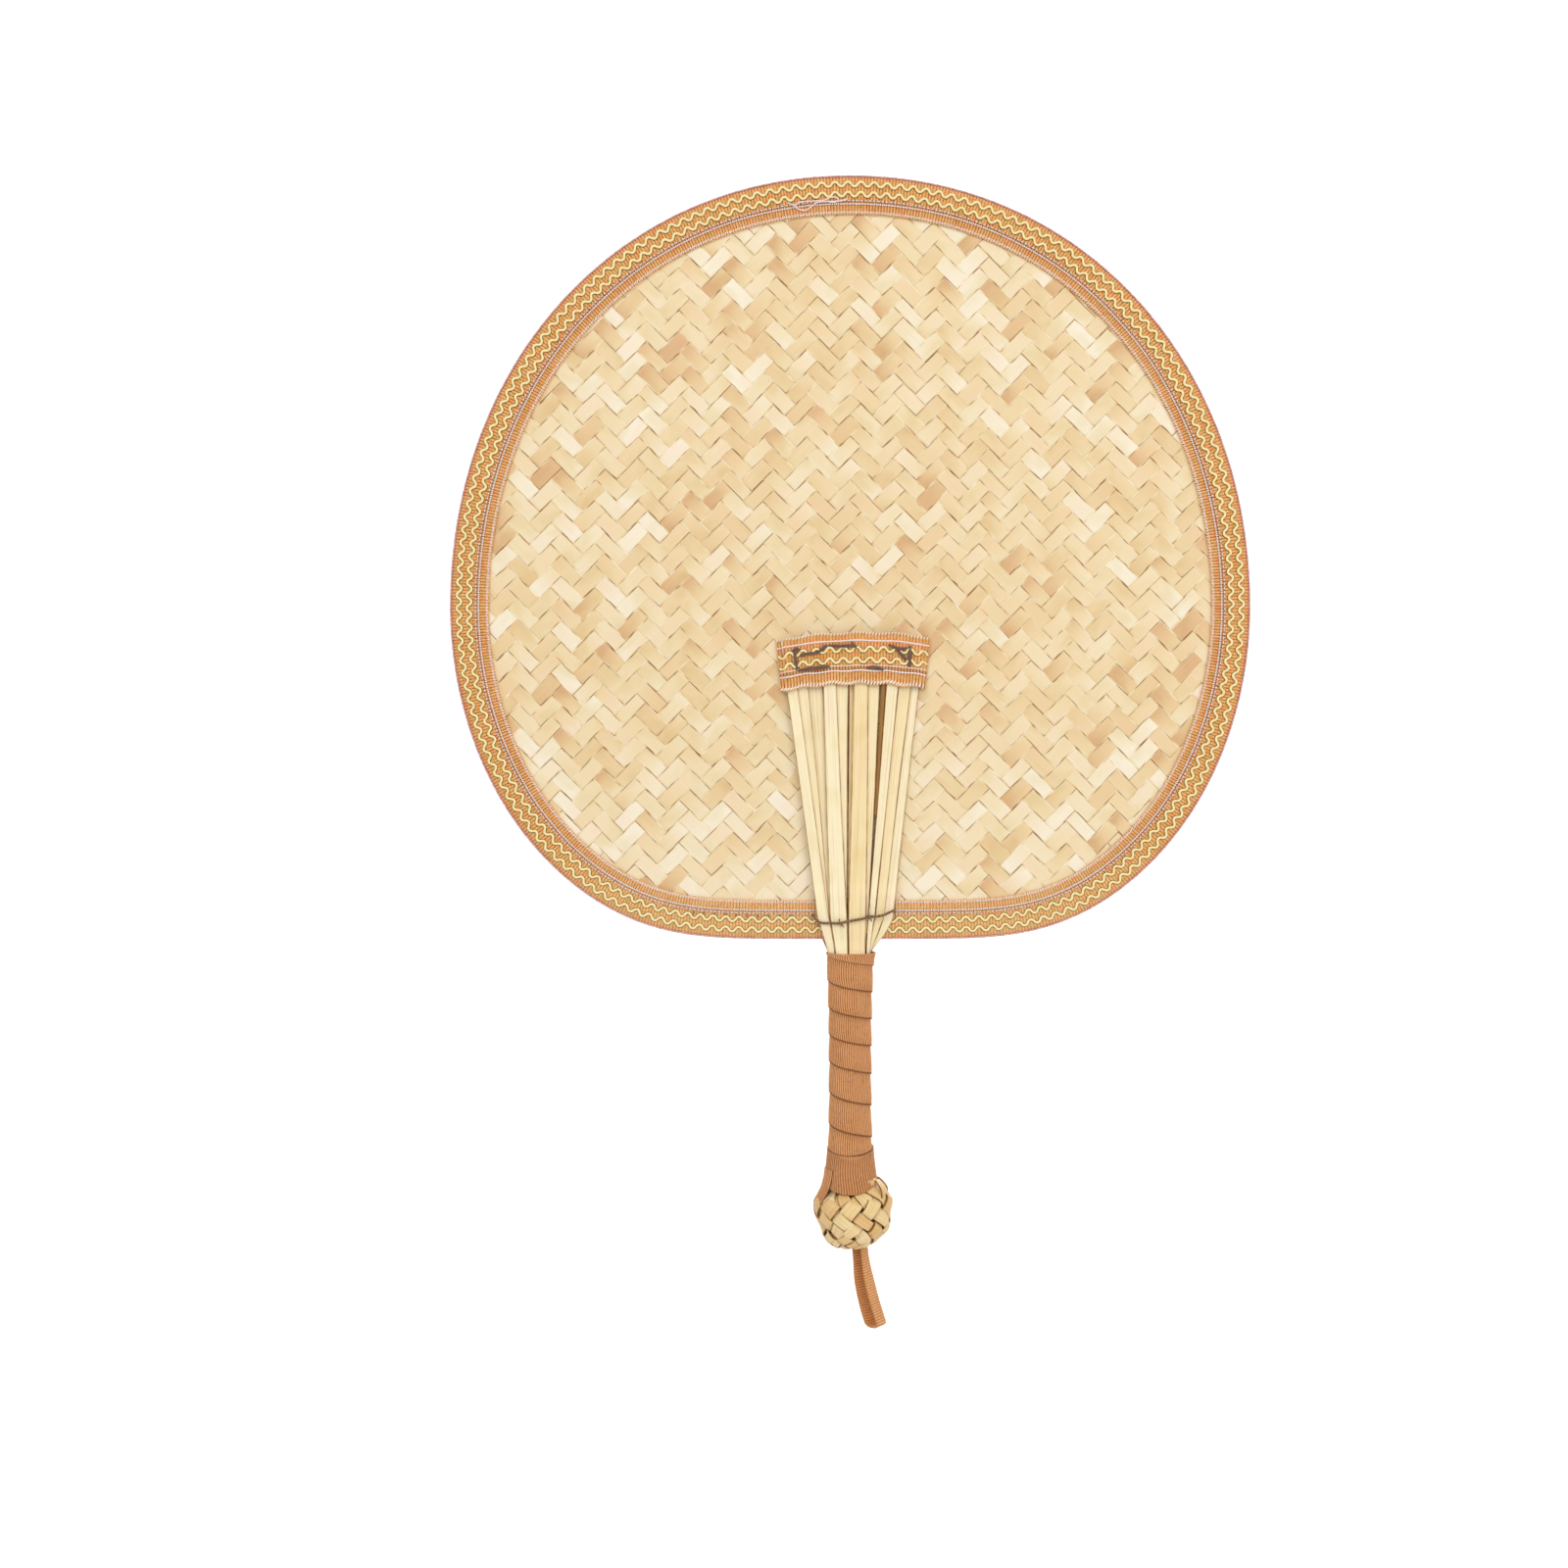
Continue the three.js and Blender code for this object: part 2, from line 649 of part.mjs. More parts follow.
// One leg, on its inner or outer face, from its rounded top end at the hinge line to the middle of the bend
function loopSide(offset) {
  const eyeHalf = LOOP_EYE / 2 + offset;
  const neck = LOOP_NECK_GAP / 2 + offset;
  const turnLevel = -(LOOP_LENGTH - LOOP_EYE / 2 - LOOP_THICKNESS);
  const roundX = offset > 0 ? neckHalf * Math.SQRT1_2 : neck;
  const points = [[roundX, Math.sqrt(neckHalf ** 2 - roundX ** 2)]];
  const sideSteps = 6;
  for (let step = 0; step <= sideSteps; step++) {
    const share = step / sideSteps;
    points.push([THREE.MathUtils.lerp(neck, eyeHalf, smooth(share)), share * turnLevel]);
  }
  const bendSteps = 5;
  for (let step = 1; step <= bendSteps; step++) {
    const angle = (step / bendSteps) * Math.PI / 2;
    points.push([eyeHalf * Math.cos(angle), turnLevel - eyeHalf * Math.sin(angle)]);
  }
  return points;
}

function hangingLoop() {
  const hairpin = (offset) => {
    const right = loopSide(offset);
    const left = right.slice(0, -1).reverse().map(([x, z]) => [-x, z]);
    return [...right, ...left];
  };
  const outside = hairpin(LOOP_THICKNESS);
  const inside = hairpin(0).reverse();
  const outline = (y) => [...outside, ...inside].map(([x, z]) => new THREE.Vector3(x, y, z));
  return strip(outline(-LOOP_WIDTH / 2), outline(LOOP_WIDTH / 2));
}

addPiece('hanging_loop', hangingLoop(), GROSGRAIN, loopFrame);

// The end of the grip ribbon, lying on the shoulder of the knob

function wrapTail() {
  const seat = KNOB_RADIUS + CLEARANCE;
  const outside = seat + WRAP_THICKNESS;
  const start = Math.acos((GRIP_BOTTOM - CLEARANCE - knobLevel) / outside);
  const rings = [];
  const steps = 4;
  const columns = [-1, 0, 1];
  for (let step = 0; step <= steps; step++) {
    const polar = start + (TAIL_LENGTH / outside) * (step / steps);
    const latitude = Math.log(Math.tan(polar / 2));
    const spread = TAIL_WIDTH / 2 / (outside * Math.sin(polar));
    const row = (radius) => columns.map((way) => onKnob(TAIL_BEARING + way * spread, latitude, radius));
    rings.push([...row(seat), ...row(outside).reverse()]);
  }
  return loft(rings);
}

addPiece('wrap_tail', wrapTail(), GROSGRAIN);

export default fan;
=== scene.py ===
# %% [markdown]
# # A woven straw fan
# The real fan is made of flat things: strips of split straw, lengths of ribbon and some thread. So
# almost every piece here starts as a flat grid that is bent into place and then given its thickness.
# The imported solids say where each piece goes. Sizes are in millimetres until a mesh is made.

import functools
import math

import bpy
import numpy as np
from mathutils import Matrix, Vector


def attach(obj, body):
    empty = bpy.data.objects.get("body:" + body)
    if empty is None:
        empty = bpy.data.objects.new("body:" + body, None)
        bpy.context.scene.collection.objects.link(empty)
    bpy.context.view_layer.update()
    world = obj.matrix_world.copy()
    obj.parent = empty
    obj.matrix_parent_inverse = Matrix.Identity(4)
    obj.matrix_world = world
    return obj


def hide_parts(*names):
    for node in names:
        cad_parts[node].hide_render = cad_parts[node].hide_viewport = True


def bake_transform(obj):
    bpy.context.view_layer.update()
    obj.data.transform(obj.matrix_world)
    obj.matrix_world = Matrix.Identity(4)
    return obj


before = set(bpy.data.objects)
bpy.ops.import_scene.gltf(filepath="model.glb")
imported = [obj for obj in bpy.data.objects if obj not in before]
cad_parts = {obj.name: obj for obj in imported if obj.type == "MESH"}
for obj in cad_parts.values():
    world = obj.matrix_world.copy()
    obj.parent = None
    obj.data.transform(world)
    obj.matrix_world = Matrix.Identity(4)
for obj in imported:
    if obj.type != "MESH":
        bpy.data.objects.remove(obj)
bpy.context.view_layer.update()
MM = 0.001
FRONT = -1
BACK = 1
FACES = {FRONT: "front", BACK: "back"}
chance = np.random.default_rng(11)
print("solids loaded:", len(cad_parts))

# %% [markdown]
# ## Camera
# The photograph looks straight at the blade from about arm's length, level with the lower part of the
# weave. The fan stands right of the middle of the picture, so the lens is shifted and the camera isn't
# turned.

# %% Camera
VIEW_DISTANCE = 0.62
VIEW_LEVEL = 0.0898
FRAME_WIDTH = 0.492
SENSOR = 36.0
PICTURE_SHIFT = -67.5 / 1600

bpy.ops.object.camera_add(location=(0, -VIEW_DISTANCE, VIEW_LEVEL), rotation=(math.pi / 2, 0, 0))
camera = bpy.context.object
camera.data.sensor_width = SENSOR
camera.data.lens = SENSOR * VIEW_DISTANCE / FRAME_WIDTH
camera.data.shift_x = PICTURE_SHIFT
bpy.context.scene.camera = camera
bpy.context.scene.view_settings.view_transform = "Standard"
print("lens, mm:", round(camera.data.lens, 1))

# %% [markdown]
# ## Helpers
# A colour is written as it looks on screen and turned to linear light here. One function adds a shader
# node. Its sockets get values, or links where they are given another node, which stands for its first
# output, or an output.

# %% Colours and nodes
def linear(colour):
    """A linear colour from an sRGB hex value."""
    channels = [int(colour[i:i + 2], 16) / 255 for i in (1, 3, 5)]
    light = [c / 12.92 if c <= 0.04045 else ((c + 0.055) / 1.055) ** 2.4 for c in channels]
    return (*light, 1.0)


def fill_sockets(tree, node, sockets):
    """Set a node's sockets to values or colours, or link them."""
    for socket, value in sockets.items():
        if isinstance(value, bpy.types.Node):
            value = value.outputs[0]
        if isinstance(value, bpy.types.NodeSocket):
            tree.links.new(value, node.inputs[socket])
        else:
            node.inputs[socket].default_value = linear(value) if isinstance(value, str) else value


def add_node(tree, kind, sockets=None, **settings):
    """Add one node to a tree, with its settings, its values and its links."""
    node = tree.nodes.new("ShaderNode" + kind)
    for name, value in settings.items():
        setattr(node, name, value)
    fill_sockets(tree, node, sockets or {})
    return node


def new_finish(name):
    """A material, what adds a node to it, and what fills its principled shader's sockets."""
    material = bpy.data.materials.new(name)
    material.use_nodes = True
    tree = material.node_tree
    shade = functools.partial(fill_sockets, tree, tree.nodes["Principled BSDF"])
    return material, functools.partial(add_node, tree), shade


def colour_stops(ramp, colours):
    """Spread these colours evenly over a colour ramp."""
    stops = ramp.color_ramp.elements
    while len(stops) < len(colours):
        stops.new(0.5)
    for k, colour in enumerate(colours):
        stops[k].position = k / (len(colours) - 1)
        stops[k].color = linear(colour)
    return ramp


# %% [markdown]
# A flat strip is a grid of one by one that a function lays out: it gets the share along and the share
# across each corner, and gives back the corner's place. The same function fills a UV map called lie, in
# millimetres along and across the strip, so that grain and ribs follow the strip wherever it bends.

# %% Flat strips
STRAW_CREASE = 50
CLOTH_CREASE = 70


def select_only(*objects):
    bpy.ops.object.select_all(action="DESELECT")
    for o in objects:
        o.select_set(True)
    bpy.context.view_layer.objects.active = objects[0]


def lay_strip(name, cells, place, tone=0.5):
    """A grid of cells bent by place(u, v), which returns points and the lie, both in millimetres."""
    bpy.ops.mesh.primitive_grid_add(x_subdivisions=cells[0], y_subdivisions=cells[1], size=1)
    strip = bpy.context.object
    strip.name = name
    mesh = strip.data
    mesh.name = name
    corners = np.empty(len(mesh.vertices) * 3)
    mesh.vertices.foreach_get("co", corners)
    u = corners[0::3] + 0.5
    v = corners[1::3] + 0.5
    points, lie = place(u, v)
    mesh.vertices.foreach_set("co", (np.stack(points, axis=1) * MM).ravel())
    loops = np.empty(len(mesh.loops), dtype=np.int32)
    mesh.loops.foreach_get("vertex_index", loops)
    mesh.uv_layers[0].name = "lie"
    mesh.uv_layers[0].data.foreach_set("uv", np.stack(lie, axis=1)[loops].ravel())
    tones = np.broadcast_to(tone(u) if callable(tone) else tone, u.shape)
    shade = mesh.attributes.new("tone", "FLOAT", "POINT")
    shade.data.foreach_set("value", tones.astype(np.float32))
    mesh.update()
    return strip


def join(name, strips):
    """Join several meshes into one object with this name."""
    select_only(*strips)
    bpy.ops.object.join()
    joined = bpy.context.object
    joined.name = name
    joined.data.name = name
    return joined


def merge_ends(strip):
    """Close a strip whose two ends meet."""
    select_only(strip)
    bpy.ops.object.mode_set(mode="EDIT")
    bpy.ops.mesh.select_all(action="SELECT")
    bpy.ops.mesh.remove_doubles(threshold=1e-6)
    bpy.ops.object.mode_set(mode="OBJECT")


def thicken(strip, thickness, crease):
    """Give a strip its thickness, half to each side, and smooth shading up to the crease angle."""
    select_only(strip)
    wall = strip.modifiers.new("thickness", "SOLIDIFY")
    wall.thickness = thickness * MM
    wall.offset = 0
    bpy.ops.object.modifier_apply(modifier=wall.name)
    bpy.ops.object.shade_smooth_by_angle(angle=math.radians(crease))


def place_piece(piece, finish, nodes=(), body="fan"):
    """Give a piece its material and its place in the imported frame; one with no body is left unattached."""
    piece.data.materials.clear()
    piece.data.materials.append(finish)
    if body:
        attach(piece, body)
    if nodes:
        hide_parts(*nodes)
    print(piece.name, len(piece.data.polygons), "faces")


def strip_piece(name, cells, place, kind, nodes=(), tone=0.5, closed=False, body="fan"):
    """A piece of one strip, closed where its ends meet; its kind is thickness, crease, finish and slot, and
    the slot is not used.
    """
    thickness, crease, finish, slot = kind
    strip = lay_strip(name, cells, place, tone)
    if closed:
        merge_ends(strip)
    thicken(strip, thickness, crease)
    place_piece(strip, finish, nodes, body)
    return strip


# %% [markdown]
# Threads are curves with a round section, turned into meshes. Small things that repeat, such as
# stitches and the dots of a woven edge, are modelled once and copied along a line.

# %% Threads and stitches
def lay_thread(name, routes, radius, closed=False):
    """Round threads along routes of points in millimetres, as one mesh."""
    bpy.ops.curve.primitive_bezier_curve_add()
    thread = bpy.context.object
    thread.name = name
    curve = thread.data
    curve.splines.clear()
    curve.bevel_depth = radius * MM
    curve.bevel_resolution = 1
    curve.use_fill_caps = not closed
    for route in routes:
        spline = curve.splines.new("POLY")
        spline.points.add(len(route) - 1)
        four = np.column_stack([np.asarray(route) * MM, np.ones(len(route))])
        spline.points.foreach_set("co", four.ravel())
        spline.use_cyclic_u = closed
    select_only(thread)
    bpy.ops.object.convert(target="MESH")
    bpy.ops.object.shade_smooth()
    return bpy.context.object


def copy_along(name, size, origins, axes):
    """Rounded stitches of one size at many places, each with its along, across and outward vectors."""
    bpy.ops.mesh.primitive_uv_sphere_add(segments=6, ring_count=4, radius=0.5)
    stitch = bpy.context.object
    bpy.ops.transform.resize(value=tuple(side * MM for side in size))
    bpy.ops.object.transform_apply(location=False, rotation=False, scale=True)
    base = np.array([v.co for v in stitch.data.vertices])
    # Blender lists a sphere's faces in another order each run, so they are sorted.
    faces = sorted(tuple(p.vertices) for p in stitch.data.polygons)
    bpy.data.objects.remove(stitch)
    points = (origins * MM)[:, None, :] + np.einsum("vk,nkc->nvc", base, axes)
    starts = np.arange(len(origins)) * len(base)
    mesh = bpy.data.meshes.new(name)
    shifted = [tuple(i + start for i in face) for start in starts for face in faces]
    mesh.from_pydata(points.reshape(-1, 3).tolist(), [], shifted)
    row = bpy.data.objects.new(name, mesh)
    bpy.context.scene.collection.objects.link(row)
    select_only(row)
    bpy.ops.object.shade_smooth()
    return row


# %% [markdown]
# A few small sums come back in many pieces: a smooth step, a place between two ends, the arch of a
# strip, a hill, the wave of a ribbed cloth, a point on a circle, and points read along a line.

# %% Small sums
def ease(x):
    """A smooth step from 0 to 1."""
    x = np.clip(x, 0, 1)
    return x * x * (3 - 2 * x)


def span(ends, share):
    """The place at a share of the way between two ends."""
    return ends[0] + (ends[1] - ends[0]) * share


def arch(v):
    """A bow across a strip, 1 in the middle and 0 at its edges."""
    return 1 - (2 * v - 1) ** 2


def hill(x, middle, spread):
    """A rounded hill, 1 at its middle."""
    return np.exp(-((x - middle) / spread) ** 2)


def ribs_at(run, pitch):
    """The height of ribs along a run, from -1 to 1."""
    return np.cos(2 * np.pi * run / pitch)


def round_axis(radius, bearing, z):
    """Points round the fan's upright axis."""
    return radius * np.cos(bearing), radius * np.sin(bearing), z


def softened(step, values, reach):
    """Values read between their steps, with rounded corners."""
    places = np.arange(len(values))
    return np.mean([np.interp(step + shift, places, values) for shift in (-reach, 0, reach)], axis=0)


def run_along(line):
    """Distance along a line of points, counted from its start."""
    return np.concatenate([[0], np.cumsum(np.linalg.norm(np.diff(line, axis=0), axis=1))])


def points_at(place, places, line):
    """Points of a line, read between its own."""
    return np.column_stack([np.interp(place, places, column) for column in line.T])


# %% [markdown]
# ## Floor and light
# A pale sweep runs under and behind the fan. It adds light of its own to what the camera sees, so that
# it reads as white paper, and it still takes the shadow. The photograph has almost no shadows, as in a
# light tent: most of the light comes from all round, two large soft boxes give it a direction, and a
# third lights the back.

# %% Floor
FLOOR_LEVEL = -0.25
FLOOR_SIZE = 8
WALL_START = 2
WALL_HEIGHT = 6
SWEEP_BEND = 1.2

bpy.ops.mesh.primitive_plane_add(size=FLOOR_SIZE, location=(0, -1.0, FLOOR_LEVEL))
sweep = bpy.context.object
sweep.name = "paper_sweep"
bpy.ops.object.transform_apply(location=True, rotation=False, scale=False)
bpy.ops.object.mode_set(mode="EDIT")
bpy.ops.mesh.select_all(action="DESELECT")
bpy.ops.object.mode_set(mode="OBJECT")


def choose_back_edge():
    """Go into edit mode with the floor's back edge chosen."""
    for edge in sweep.data.edges:
        ends = [sweep.data.vertices[i].co for i in edge.vertices]
        edge.select = all(p.y > WALL_START and p.z < 0 for p in ends)
    bpy.ops.object.mode_set(mode="EDIT")


choose_back_edge()
bpy.ops.mesh.select_mode(type="EDGE")
bpy.ops.mesh.extrude_region_move(TRANSFORM_OT_translate={"value": (0, 0, WALL_HEIGHT)})
bpy.ops.object.mode_set(mode="OBJECT")
choose_back_edge()
bpy.ops.mesh.bevel(offset=SWEEP_BEND, segments=16, affect="EDGES")
bpy.ops.object.mode_set(mode="OBJECT")
bpy.ops.object.shade_smooth()
print("floor level, m:", FLOOR_LEVEL)

# %% Paper
FLOOR_LIFT = 0.5
WALL_LIFT = 0.85
WALL_LEVEL = -0.15

paper, add, shade = new_finish("white_paper")
path = add("LightPath")
seen = add("Math", {0: path.outputs["Is Camera Ray"], 1: path.outputs["Is Glossy Ray"]}, operation="ADD")
seen = add("Math", {0: seen, 1: path.outputs["Is Transmission Ray"]}, operation="ADD", use_clamp=True)
height = add("SeparateXYZ", {"Vector": add("TexCoord").outputs["Object"]})
lift = add("MapRange", {"Value": height.outputs[2], "From Min": FLOOR_LEVEL, "From Max": WALL_LEVEL,
                        "To Min": FLOOR_LIFT, "To Max": WALL_LIFT})
glow = add("Math", {0: seen, 1: lift}, operation="MULTIPLY")
shade({"Base Color": "#E2E2E2", "Roughness": 0.9, "Specular IOR Level": 0.1, "Emission Color": "#FFFFFF",
       "Emission Strength": glow})
sweep.data.materials.append(paper)
print("paper made")

# %% Lamps and world
ROOM_LIGHT = 0.68


def soft_box(name, place, aim, size, watts):
    """A square lamp that faces the point it is aimed at."""
    bpy.ops.object.light_add(type="AREA", location=place)
    lamp = bpy.context.object
    lamp.name = name
    lamp.data.size = size
    lamp.data.energy = watts
    lamp.rotation_euler = (Vector(aim) - Vector(place)).to_track_quat("-Z", "Y").to_euler()


soft_box("key_box", (-0.45, -1.15, 1.05), (0, 0, 0.12), 0.8, 5.4)
soft_box("fill_box", (0.95, -1.15, 0.5), (0, 0, 0.1), 0.9, 5.2)
soft_box("rear_box", (0.5, 1.3, 0.9), (0, 0, 0.12), 0.9, 9)
world = bpy.data.worlds.new("studio_room")
world.use_nodes = True
bpy.context.scene.world = world
room = world.node_tree.nodes["Background"]
room.inputs["Color"].default_value = (1, 1, 1, 1)
room.inputs["Strength"].default_value = ROOM_LIGHT

# %% [markdown]
# ## Straw
# Split straw is a dry grass stem, slit and pressed flat. It is cream to tan, each strip in its own
# tone, with fine lines along it, and a waxy skin that gives a soft shine. Along each edge runs a thin
# line that is partly the darker cut edge and mostly painted shade and painted highlight. The tone comes
# from an attribute of each strip, and the lines from a noise that is stretched along the strip.

# %% Straw finishes
# Length and width of patches, lines and the edge noise for painted shade and highlight, and the detail of
# their noise.
STRAW_GRAINS = [(14, 9, 2), (45, 0.45, 4), (4.5, 3, 1)]
STRAW_TINTS = ["#FFF6F0", "#FFFCF6", "#FAF6EA"]
STRAW_PALE = "#FBF3DC"
# The middle part of a noise, where nearly all of its values lie.
NOISE_RANGE = {"From Min": 0.36, "From Max": 0.64}


def straw_finish(name, tones, edge_tones, half_width, edge_width, line_share):
    """Pressed straw: tones from pale to dark, fine lines along it, and edges partly cut-dark, mostly painted
    shade and highlight.
    """
    material, add, shade = new_finish(name)
    lie = add("UVMap", uv_map="lie")
    noises = []
    for length, width, detail in STRAW_GRAINS:
        grain = add("Mapping", {"Vector": lie, "Scale": (1 / length, 1 / width, 1)})
        noises.append(add("TexNoise", {"Vector": grain, "Scale": 1, "Detail": detail}))
    patch, lines, cut = noises
    tone = add("Attribute", attribute_name="tone")
    drift = add("Math", {0: patch, 1: 0.5, 2: -0.25}, operation="MULTIPLY_ADD")
    mixed_tone = add("Math", {0: tone.outputs["Fac"], 1: drift}, use_clamp=True)
    ramp = colour_stops(add("ValToRGB", {"Fac": mixed_tone}), tones)
    tint_share = add("MapRange", {"Value": patch, **NOISE_RANGE})
    tint = colour_stops(add("ValToRGB", {"Fac": tint_share}), STRAW_TINTS)
    colour = add("MixRGB", {"Fac": 1, "Color1": ramp, "Color2": tint}, blend_type="MULTIPLY")
    dark = add("MapRange", {"Value": lines, "From Min": 0.5, "From Max": 0.75, "To Max": line_share})
    pale = add("MapRange", {"Value": lines, "From Min": 0.46, "From Max": 0.25, "To Max": 0.8 * line_share})
    across = add("SeparateXYZ", {"Vector": lie})
    from_middle = add("Math", {0: across.outputs[1]}, operation="ABSOLUTE")
    # The edge line is partly the darker cut edge and mostly painted shade and painted highlight, dark or pale
    # as the noise cut sets.
    rim = add("MapRange", {"Value": from_middle, "From Min": half_width - edge_width,
                           "From Max": half_width - edge_width / 2, "To Max": 0.95})
    edge_light_share = add("MapRange", {"Value": cut, **NOISE_RANGE})
    painted_edge_light = colour_stops(add("ValToRGB", {"Fac": edge_light_share}), edge_tones)
    for share, layer in ((dark, edge_tones[1]), (pale, STRAW_PALE), (rim, painted_edge_light)):
        colour = add("MixRGB", {"Fac": share, "Color1": colour, "Color2": layer})
    gloss = add("MapRange", {"Value": lines, "To Min": 0.3, "To Max": 0.55})
    bump = add("Bump", {"Strength": 0.4, "Distance": 0.0001, "Height": lines})
    shade({"Base Color": colour, "Roughness": gloss, "Normal": bump, "Specular IOR Level": 0.4})
    return material


WOVEN_WIDTH = 4.5
SPLINT_WIDTH = 3.8
PLAIT_LIE = 4.2
# Edge tones run from painted highlight to painted shade; on the splints and the plait all are dark, as
# painted shade in the gaps.
woven_straw = straw_finish("pressed_straw_woven", ["#FAF1DC", "#F5E5C3", "#F1DBB0", "#EBCE9E", "#DDB384"],
                           ["#FFF3D8", "#E8CB94", "#9C662A"], WOVEN_WIDTH / 2, 0.27, 0.16)
splint_straw = straw_finish("pressed_straw_splint", ["#FFF4D2", "#FCECC2", "#F9E2AE", "#F4D498"],
                            ["#C69850", "#AC7A34", "#85561C"], SPLINT_WIDTH / 2, 0.26, 0.35)
plait_straw = straw_finish("pressed_straw_plait", ["#F8E6B8", "#F3D8A0", "#ECC98C", "#DFB474"],
                           ["#C29250", "#946428", "#6A4416"], PLAIT_LIE / 2, 0.28, 0.3)
print("straw finishes made")

# %% [markdown]
# ## Woven blade
# The blade is woven on the bias: one family of strips runs up to the right, the other down to the
# right, and each goes over two and under two. A picture of a weave on a flat plate has no edges to
# catch the light, so every strip is modelled, crowned like pressed straw and bent over and under its
# neighbours.

# %% Rim line
BLADE_HALF_WIDTH = 125.3
BLADE_RISE = 135.3
BLADE_DROP = 103.8
TOP_FULLNESS = 2.07
BOTTOM_FULLNESS = 5.4
BOTTOM_TAPER = 0.35
WIDEST_LEVEL = 145.1

turn = np.linspace(0, 2 * np.pi, 24001)
upper = np.sin(turn) >= 0
fullness = np.where(upper, TOP_FULLNESS, BOTTOM_FULLNESS)
radial = (np.abs(np.cos(turn)) ** fullness + np.abs(np.sin(turn)) ** fullness) ** (-1 / fullness)
rise = radial * np.sin(turn)
rim_x = BLADE_HALF_WIDTH * np.where(upper, 1, 1 - BOTTOM_TAPER * rise ** 2) * radial * np.cos(turn)
rim_z = np.where(upper, BLADE_RISE, BLADE_DROP) * rise
slope_x = -np.gradient(rim_z)
slope_z = np.gradient(rim_x)
slope = np.hypot(slope_x, slope_z)
rim_line = np.column_stack([rim_x, rim_z + WIDEST_LEVEL, slope_x / slope, slope_z / slope])
rim_run = run_along(rim_line[:, :2])
RIM_LENGTH = rim_run[-1]


def on_rim(run):
    """The rim's point and inward normal at these distances round it, counted from the right-hand side."""
    x, z, nx, nz = points_at(np.mod(run, RIM_LENGTH), rim_run, rim_line).T
    size = np.hypot(nx, nz)
    return x, z, nx / size, nz / size


print("rim length, mm:", round(RIM_LENGTH))

# %% Woven strips
WEAVE_PITCH = 4.74
WEAVE_RISE = 0.17
WEAVE_REACH = 190
STRAW_CROWN = 0.06
STRAW_THICKNESS = 0.24
STRAW_INSET = 4.0
STRAW_GAPS = (0.0, 0.2)
STRAW_BOW = 0.4
BOW_LENGTH = 230
BOW_STRAWS = 19
EDGE_JITTER = 0.17
TILE_TILT = 0.035
PROBE_STEP = 0.5
LEAST_PROBES = 12
STRAWS_EACH_WAY = 40
DIAGONAL = math.sqrt(0.5)
# A strip dives under its neighbour within this distance of the crossing, and is flat between two dives.
DIVE = 0.6
DIVE_STOPS = np.array([-0.95, -0.5, 0.5, 0.95])
MOST_EDGES = 60
edge_jitter = {side: chance.normal(0, EDGE_JITTER, 2 * MOST_EDGES + 1) for side in (1, -1)}


def in_blade(x, z, inset):
    """Whether points measured from the middle of the blade lie this far inside its rim."""
    full = np.where(z >= 0, TOP_FULLNESS, BOTTOM_FULLNESS)
    share = np.abs(z) / (np.where(z >= 0, BLADE_RISE, BLADE_DROP) - inset)
    half = (BLADE_HALF_WIDTH - inset) * np.where(z >= 0, 1, 1 - BOTTOM_TAPER * share ** 2)
    return (np.abs(x) / np.maximum(half, 1)) ** full + share ** full < 1


def on_bias(run, across, side):
    """From the run and width of a family of strips to X and Z, measured from the middle of the blade."""
    return (run + across) * DIAGONAL, (run - across) * side * DIAGONAL


def strip_edge(side, index, run):
    """Where the border before a strip lies across its family: nearly even, a little bowed along the run."""
    bow = STRAW_BOW * np.sin(2 * np.pi * (run / BOW_LENGTH + index / BOW_STRAWS) + side)
    return index * WEAVE_PITCH + edge_jitter[side][index + MOST_EDGES] + bow


# Some tiles stand out: by how much, and how many do, each in the middle and added towards the rim; what is
# added towards the rim is painted highlight and painted shade.
DARK_TILES = ((0.34, 0.1), (0.08, 0.05))
PALE_TILES = ((0.3, 0.14), (0.05, 0.14))
TONE_SPREAD = 0.1
OUTER_REACH = (115, 118)
LOW_START = 35
LOW_END = 70


def tile_tones(count, x, z):
    """A tone for each flat stretch of a strip: near the strip's own; low ones paler as painted sheen, rim
    ones spread as painted light.
    """
    # Towards the rim the tones spread wider and more tiles stand out, and low on the blade they are paler:
    # painted highlight, sheen and shade.
    outer = ease((np.hypot(x / OUTER_REACH[0], z / OUTER_REACH[1]) - 0.55) / 0.4)
    low = ease((-z - LOW_START) / (LOW_END - LOW_START))
    tones = 0.5 + chance.normal(0, TONE_SPREAD)
    tones = tones + chance.normal(0, TONE_SPREAD, count) * (1 + 0.5 * outer) - 0.2 * low
    for way, (amount, share) in ((1, DARK_TILES), (-1, PALE_TILES)):
        chosen = chance.random(count) < share[0] + share[1] * outer
        tones += way * (amount[0] + amount[1] * outer) * chosen
    return np.clip(tones, 0, 1)


